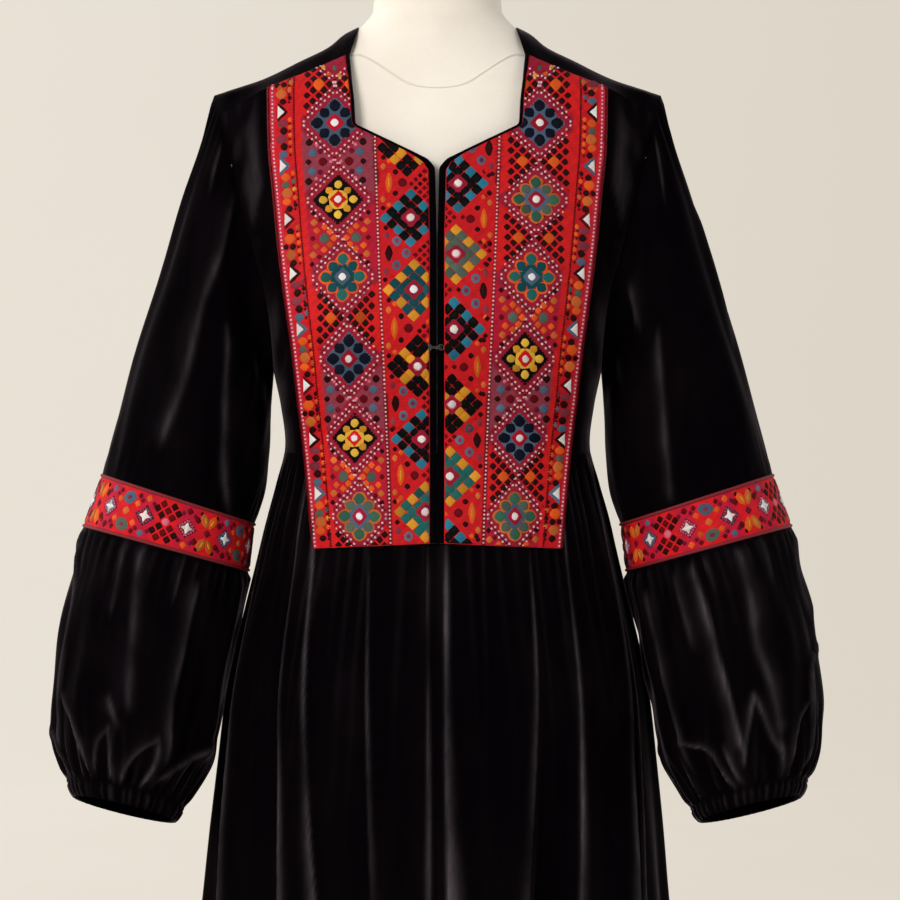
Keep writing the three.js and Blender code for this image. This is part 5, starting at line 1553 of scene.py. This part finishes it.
# A large diamond of the inner column, five by five small ones round a framed light middle: a checker,
# or a cross of bars along the two diagonals.
def checkerDiamond(work, x, z, size, look, highlightStrength, dark):
    for i in range(-2, 3):
        for j in range(-2, 3):
            bar = i == 0 or j == 0
            lit = bar if look == "cross" else (i + j) % 2 == 0 and not abs(i) == abs(j) == 1
            if not bar or i or j:
                colour = highlightStrength if lit else dark
                work.put(x + (i - j) * size, z + (i + j) * size, 0.98 * size, 0.98 * size, colour, 0.7,
                         power=1.12)
    for reach, colour, rise, power in ((1.9, "rose", 0.95, 1.06), (1.45, "maroon", 1.05, 1.08),
                                       (1.0, "pink", 1.25, 1.4), (0.78, "white", 1.5, 1.5)):
        work.put(x, z, reach * size, reach * size, colour, rise, power=power, corners=12)


bibPattern = {
    "mainShare": 0.598, "mainSize": 22.0, "mainPitch": 67.5, "mainTop": 1331, "mainHalf": 27.4,
    "innerShare": 0.352, "innerPitch": 62.3, "outerPitch": 47.0,
    "left": {"main": ["navy", "green", "teal", "gold", "navy", "green"], "innerTop": 1277,
             "slant": 0.028, "outerStart": 1, "seed": 31,
             "gaps": ["dark", "dark", "dark", "bloom", "mauve", "dark", "bloom"],
             "inner": [("checker", "blue", "black"), ("checker", "gold", "greyGreen"),
                       ("checker", "blue", "black"), ("cross", "gold", "black"),
                       ("checker", "gold", "teal"), ("checker", "blue", "black")]},
    "right": {"main": ["navy", "gold", "teal", "navy", "gold", "green"], "innerTop": 1309,
              "slant": 0.050, "outerStart": 0, "seed": 32,
              "gaps": ["dark", "mauve", "bloom", "dark", "mauve", "bloom", "dark"],
              "inner": [("cross", "gold", "black"), ("checker", "blue", "black"),
                        ("checker", "gold", "darkTeal"), ("cross", "gold", "black"),
                        ("checker", "blue", "black"), ("checker", "gold", "teal")]},
    "gapGround": {"mauve": "mauve", "dark": "red", "bloom": "crimson"},
}


# A medallion at each pitch down the main column, and filled gaps half way between.
def drawMain(work, look):
    pitch, share = bibPattern["mainPitch"], bibPattern["mainShare"]
    for number, kind in enumerate(look["main"]):
        z = bibPattern["mainTop"] - pitch * number
        x = share * bibEdge(z)
        latticeDots(work, x, z, columnScale(z))
        medallion(work, kind, x, z, bibPattern["mainSize"], columnScale(z))
    latticeDots(work, share * bibEdge(1390), bibPattern["mainTop"] + pitch, 1.0)
    for number, kind in enumerate(look["gaps"]):
        z = bibPattern["mainTop"] - pitch * (number - 0.5)
        for place in (-1, 1):
            gapFilling(work, kind, share * bibEdge(z), z, place, columnScale(z))


# Middle line of the inner column, which leans a little outwards going up.
def innerMiddle(z, slant):
    return 10 + (z - 1000) * slant


# The large diamonds of the inner column and the gaps between, against the dark line: grey-blue and mauve
# rounds about a dark leaf, or an orange leaf with dark rounds.
def drawInner(work, looks, top, slant):
    pitch = bibPattern["innerPitch"]
    for number in range(-1, len(looks)):
        z = top - pitch * number
        if number >= 0:
            checkerDiamond(work, innerMiddle(z, slant), z, 5.3, *looks[number])
        middle = z - pitch / 2
        far = bibPattern["innerShare"] * bibEdge(middle)
        if number % 2:
            for across, up in ((-13.5, -10.5), (-13.5, 10.5), (-21.5, 0)):
                work.put(far + across, middle + up, 3.9, 4.4, "greyBlue", 0.5, power=1.8, corners=12)
                work.put(far + across, middle + up, 2.3, 2.7, "mauve", 0.85, power=1.8)
            work.put(far - 7.0, middle, 3.4, 7.6, "wine", 0.7, power=1.5, corners=12)
            work.put(far - 5.0, middle + np.array([-15.5, 15.5]), 2.6, 3.6, "mauve", 0.55, power=1.5)
        else:
            work.put(far - 9.0, middle, 3.2, 9.6, "orange", 0.7, power=1.5, corners=12)
            work.put(far - 9.0, middle, 1.2, 7.0, "gold", 0.9, power=1.5)
            work.put(far - 14.5, middle + np.array([-9.5, 9.5]), 2.7, 2.7, "wine", 0.6, power=1.6)
            work.put(far - 20.5, middle, 4.0, 4.0, "darkRed", 0.65, power=1.7, corners=12)
            work.put(far - 4.0, middle + np.array([-14.5, 14.5]), 2.4, 3.2, "copper", 0.55, power=1.5)
        for up in (-1, 1):
            work.put(far - 4.2, middle + up * 22.5, 2.5, 2.5, "wine", 0.5, power=1.3)
            work.put(far - 9.2, middle + up * 19.5, 2.5, 2.5, ("orange", "red")[number % 2], 0.5, power=1.3)


# Stacks of the outer column between its light triangles: up, across, half width, half height, thread.
outerStacks = [
    [(-10.0, 0.6, 4.2, 3.2, "mauve"), (-16.5, 1.2, 3.3, 3.3, "wine"), (-23.5, -0.6, 4.4, 4.0, "mauve"),
     (-23.5, -0.6, 2.2, 2.0, "greyBlue"), (-30.0, 1.2, 3.3, 3.3, "wine"), (-37.0, 0.4, 3.6, 3.2, "greyBlue")],
    [(-10.0, 0.4, 3.7, 3.6, "orange"), (-16.8, 0.0, 3.2, 3.2, "greyGreen"), (-24.0, 0.6, 4.2, 4.6, "copper"),
     (-24.0, 0.6, 2.0, 2.2, "gold"), (-31.5, -0.4, 3.5, 3.3, "orange"), (-37.8, 1.4, 2.8, 2.8, "wine")],
    [(-10.5, 0.6, 3.0, 3.0, "wine"), (-17.0, -0.6, 4.2, 4.4, "orange"), (-24.0, 1.4, 2.8, 2.8, "wine"),
     (-24.0, -4.4, 2.4, 2.4, "wine"), (-31.0, -0.4, 4.2, 4.4, "copper"), (-38.0, 0.8, 3.0, 3.0, "wine")],
]


# A light triangle at each pitch down the outer column, and a stack below it.
def drawOuter(work, start):
    for number in range(-1, 9):
        z = 1341.5 - bibPattern["outerPitch"] * number
        inward = bibEdge(z) * 0.938
        work.put(inward - 3.8, z, 5.4, 8.6, ("wine", "greyBlue", "darkRed")[number % 3], 0.35, power=0,
                 corners=12)
        work.put(inward - 2.8, z, 3.5, 5.6, "white", 0.9, power=0, corners=12)
        for up, across, wide, tall, colour in outerStacks[(number + start) % 3]:
            column = bibEdge(z + up) * 0.908
            work.put(column - across, z + up, 1.15 * wide, 1.12 * tall, colour, 0.45 + 0.08 * wide,
                     power=1.6, corners=12 if wide > 3.4 else 8)
            work.put(column - 6.6, z + up + 3.4, 2.1, 2.5, colour if number % 2 else "orange", 0.45,
                     power=1.5)
            work.put(column - 6.3, z + up - 0.4, 1.4, 1.5, "darkRed", 0.4, power=1.4)


# Small diamonds of near reds on a lattice, wherever the inner column's motifs leave its ground bare.
def drawFiller(work, top, slant):
    step = 7.4
    i, j = np.meshgrid(np.arange(0, 9), np.arange(0, 118))
    x, z = (7 + i * step + (j % 2) * step / 2).ravel(), (966 + j * step / 2).ravel()
    pitch = bibPattern["innerPitch"]
    dz = np.abs((top - z + pitch / 2) % pitch - pitch / 2)
    spare = bibPattern["innerShare"] * bibEdge(z) - x
    free = (np.abs(x - innerMiddle(z, slant)) + dz > 30.5) & (spare > 3) & ((spare > 26) | (dz < 12))
    x, z = x[free], z[free]
    pick = np.random.default_rng(77).random(len(x))
    for low, high, colour in ((0, 0.5, "darkRed"), (0.5, 0.75, "orange"), (0.75, 1, "wine")):
        some = (pick >= low) & (pick < high)
        work.put(x[some], z[some], 2.5, 2.5, colour, 0.35, power=1.15)


# Small patches where the main column runs out beside the neck: place, half width, half height, thread.
neckCornerPatches = [
    (84, 1372, 2.4, 3.4, "gold"), (88, 1380, 2.2, 2.8, "greyGreen"), (93, 1374, 2.6, 2.6, "orange"),
    (98, 1381, 2.2, 2.6, "gold"), (134, 1362, 4.6, 3.6, "orange"), (126, 1367, 3.0, 3.0, "copper"),
]


def drawNeckCorner(work):
    for patch in neckCornerPatches:
        work.put(*patch, 0.6, power=1.5)


# Dotted lines, each at a fixed share of the bib's half width.
def drawLines(work):
    z = np.arange(968, 1392, 3.4)
    for share in (0.965, 0.364):
        work.put(share * bibEdge(z), z, 0.95, 1.0, "palePink", 0.5)
    z = np.arange(968, 1390, 2.3)
    for share in (0.838, 0.987):
        work.put(share * bibEdge(z), z, 1.0, 1.3, "darkRed", 0.45, power=1.5)


# Height of the bib's seamed top above a distance from the middle.
def bibTop(x):
    return mix(bib["seamCentre"], bib["seamOuter"], np.clip((x - 78) / 70, 0, 1))


# All the needlework of a bib half; patches are held 0.8 inside its edges, flatter beside the binding.
def addBibStitches(name, side):
    work = Needlework()
    look = bibPattern[name]
    drawMain(work, look)
    drawFiller(work, look["innerTop"], look["slant"])
    drawInner(work, look["inner"], look["innerTop"], look["slant"])
    drawOuter(work, look["outerStart"])
    drawLines(work)
    drawNeckCorner(work)

    # A flat place held inside the edges, on the bib's face.
    def place(x, z, lift):
        z = np.clip(z, mix(bib["bottomCentre"], bib["bottomOuter"], x / 110) + 0.8, bibTop(x) - 0.8)
        left = bibLeft(z) + 0.7
        squeezed = np.where(x < left, 0.35, 1.0)
        return bibPlace(np.clip(x, left, bibEdge(z) - 0.8), z, lift * squeezed) * np.array([side, 1, 1])

    def keep(x, z, margin):
        return (x > bibLeft(z) - margin) & (z > bib["bottomOuter"] + margin) & (z < bibTop(x) + margin)

    work.make(f"bib_{name}_stitches", place, keep, look["seed"])


for name, side in sides:
    addBibGround(name, side)
    addBibStitches(name, side)


# Needlework of the sleeve bands: light four-pointed stars along the middle, and between them in turn a
# lattice of dark squares, orange leaves in pairs, and grey-blue ovals.
bandPattern = {"around": 450.0, "tall": 38.0, "stars": 12, "starPitch": 37.50124, "step": 4.69,
               "seeds": {"left": 51, "right": 52}}
bandSquares = [(3, 1), (5, 1), (4, 2), (3, 3), (5, 3), (2, 2), (6, 2)]


# A star at each pitch, and the rest mirrored about the band's middle.
def addBandStitches(name, side):
    work = Needlework()
    step, middle = bandPattern["step"], bandPattern["tall"] / 2
    for number in range(bandPattern["stars"]):
        x = bandPattern["starPitch"] * (number + 0.5)
        halo = ("mauve", "greyBlue", "rose")[number % 3]
        work.put(x, middle, 9.2, 9.2, "maroon", 0.3, power=1.05, corners=12)
        work.put(x, middle, 7.6, 7.6, halo, 0.5, power=1.15, corners=12)
        diamondChain(work, x, middle, 7.0, 7.0, 2.2, 0.9, ("greyBlue", "pink")[number % 2], 0.75)
        for wide, tall in ((5.9, 2.7), (2.7, 5.9), (3.9, 3.9)):
            work.put(x, middle, wide, tall, "white", 1.2, power=1.15, corners=12)
        kind = (number + (side < 0)) % 3
        between = x + 4 * step
        for up in (-1, 1):
            if kind == 0:
                for i, j in bandSquares:
                    colour = "darkRed" if (i + j) % 4 else "wine"
                    work.put(x + i * step, middle + up * j * step, 3.7, 3.7, colour, 0.6, power=1.12)
            elif kind == 1:
                for way, colour in ((-1, "copper"), (1, "orange")):
                    lean = -0.45 * way * up
                    work.put(between + 3.9 * way, middle + up * 10.6, 3.9, 6.8, colour, 0.75, lean, 1.6, 12)
                    work.put(between + 3.3 * way, middle + up * 10.2, 1.2, 4.2, "gold", 0.95, lean, 1.6)
                    work.put(between + 10.4 * way, middle + up * 9.4, 3.3, 3.3, "darkRed", 0.6, power=1.15)
                    work.put(between + 7.6 * way, middle + up * 15.4, 2.2, 2.2, "wine", 0.5, power=1.3)
            else:
                colour = "greyGreen" if up > 0 else "greyBlue"
                work.put(between, middle + up * 11.2, 7.2, 5.4, colour, 0.6, 0.3 * up, 1.8, 12)
                work.put(between, middle + up * 11.2, 3.4, 2.6, "mauve", 0.85, 0.3 * up, 1.6)
                for way in (-1, 1):
                    work.put(between + 9.4 * way, middle + up * 8.0, 3.0, 3.0, "orange", 0.6, power=1.3)
                    work.put(between + 10.2 * way, middle + up * 14.8, 2.6, 2.6, "darkRed", 0.5, power=1.2)
            colour = ("greyBlue", "orange", "darkRed")[(number + up) % 3]
            work.put(x, middle + up * 14.6, 3.2, 3.2, colour, 0.6, power=1.3)
            work.put(x + np.array([-5.4, 5.4]), middle + up * 11.6, 2.3, 2.3, "maroon", 0.45, power=1.3)
        work.put(between, middle, 3.6, 3.6, ("pink", "maroon", "copper")[kind], 0.7,
                 power=(1.6, 1.12, 1.3)[kind])

    # A flat place held inside the edges, round the band.
    def place(x, z, lift):
        down = np.clip(z / bandPattern["tall"], 0.01, 0.99)
        return bandPlace(x / bandPattern["around"], down, lift + 0.3, side)

    def keep(x, z, margin):
        return np.isfinite(z)  # all of them

    work.make(f"sleeve_band_{name}_stitches", place, keep, bandPattern["seeds"][name])


for name, side in sides:
    addBandGround(name, side)
    addBandStitches(name, side)
print("garment, form and stand made")


# Colours of the room; "left" and "right" are the painted light of the glowing backdrop, brighter on the left.
room = {
    "floor": tone(226, 220, 211), "left": tone(231, 223, 211), "right": tone(219, 211, 198),
    "world": (0.85, 0.85, 0.85), "worldPower": 0.5, "glowFrom": (2.2, 4.6),
    "half": 12000, "front": -9000, "back": 9000, "bend": 1500, "tall": 9000,
}


# The floor is plain and pale; its far part and the wall behind glow with painted light, even but for a soft
# cloud, and a little brighter on the left, where the key light stands.
def roomMaterial():
    paint = Paint("paleRoom")
    where = paint.place()
    across, deep, _ = paint.split(where)
    lit = deep.step(*room["glowFrom"])
    cloud = paint.noise(where, 1.6, 3.0)
    # Painted light: the backdrop glows brighter on the left than on the right, with a soft cloud.
    glow = paint.blend((across * 0.31 + 0.5 + (cloud - 0.5) * 0.3).step(0.0, 1.0), room["left"],
                       room["right"])
    return paint.set(colour=paint.blend(lit, room["floor"], (0.02, 0.02, 0.02)), rough=0.9, specular=0.1,
                     normal=paint.bump(paint.noise(where, 240.0, 2.0), 0.02, 0.0005),
                     glow=paint.blend(lit, (0, 0, 0), glow), glowPower=1.0)


# Floor and wall in one sweep: flat, then a quarter circle, then upright.
def addRoom():
    angle = np.linspace(0, np.pi / 2, 24)
    start, radius = room["back"] - room["bend"], room["bend"]
    bend = np.stack([start + radius * np.sin(angle), radius - radius * np.cos(angle)], 1)
    profile = np.concatenate([[(room["front"], 0)], bend, [(room["back"], room["tall"])]])
    x = np.linspace(-room["half"], room["half"], 12)
    deep, height = profile[:, :1], profile[:, 1:] - 0.05
    net = np.stack([x[None] + 0 * deep, deep + 0 * x[None], height + 0 * x[None]], -1)
    quads = netQuads(*net.shape[:2])
    mesh = bpy.data.meshes.new("room")
    mesh.from_pydata((net.reshape(-1, 3) * mm).tolist(), [], quads[:, ::-1].tolist())  # faces up and forward
    mesh.shade_smooth()
    mesh.materials.append(roomMaterial())
    sweep = bpy.data.objects.new("room", mesh)
    bpy.context.collection.objects.link(sweep)


# Each light: place, what it looks at, its width and height, power in watts and colour.
lights = {
    "keyLight": ((-2.1, -2.6, 2.5), (0, 0, 1.15), (1.5, 1.5), 82, (1.0, 0.98, 0.95)),
    "fillLight": ((2.6, -2.2, 1.5), (0, 0, 1.0), (2.0, 2.0), 16, (0.97, 0.98, 1.0)),
    "leftRim": ((-1.9, 0.7, 1.7), (0, 0, 1.0), (0.8, 1.8), 16, (1.0, 0.98, 0.96)),
    "rightRim": ((1.9, 0.7, 1.6), (0, 0, 1.0), (0.8, 1.8), 6, (1.0, 0.98, 0.96)),
}


# Turns a placed thing's -Z to its target.
def aim(thing, place, target):
    thing.location = place
    thing.rotation_euler = (Vector(target) - Vector(place)).to_track_quat("-Z", "Y").to_euler()


def addLights():
    world = bpy.data.worlds.new("studio")
    world.use_nodes = True
    world.node_tree.nodes["Background"].inputs["Color"].default_value = (*room["world"], 1)
    world.node_tree.nodes["Background"].inputs["Strength"].default_value = room["worldPower"]
    bpy.context.scene.world = world
    for name, (place, target, size, power, colour) in lights.items():
        lamp = bpy.data.lights.new(name, "AREA")
        lamp.shape, lamp.size, lamp.size_y = "RECTANGLE", *size
        lamp.energy, lamp.color = power, colour
        stand = bpy.data.objects.new(name, lamp)
        bpy.context.collection.objects.link(stand)
        aim(stand, place, target)


camera = {"place": (0.011, -3.0, 1.0504), "lens": 36 * 3.0 / 0.792}


# The camera, level, its lens taking in 0.792 m at 3 m.
def addCamera():
    eye = bpy.data.cameras.new("camera")
    eye.lens, eye.sensor_width = camera["lens"], 36
    holder = bpy.data.objects.new("camera", eye)
    holder.location = camera["place"]
    holder.rotation_euler = (np.pi / 2, 0, 0)
    bpy.context.collection.objects.link(holder)
    bpy.context.scene.camera = holder


addRoom()
addLights()
addCamera()
print("room, lights and camera set")
bpy.context.scene.view_settings.view_transform = "Standard"
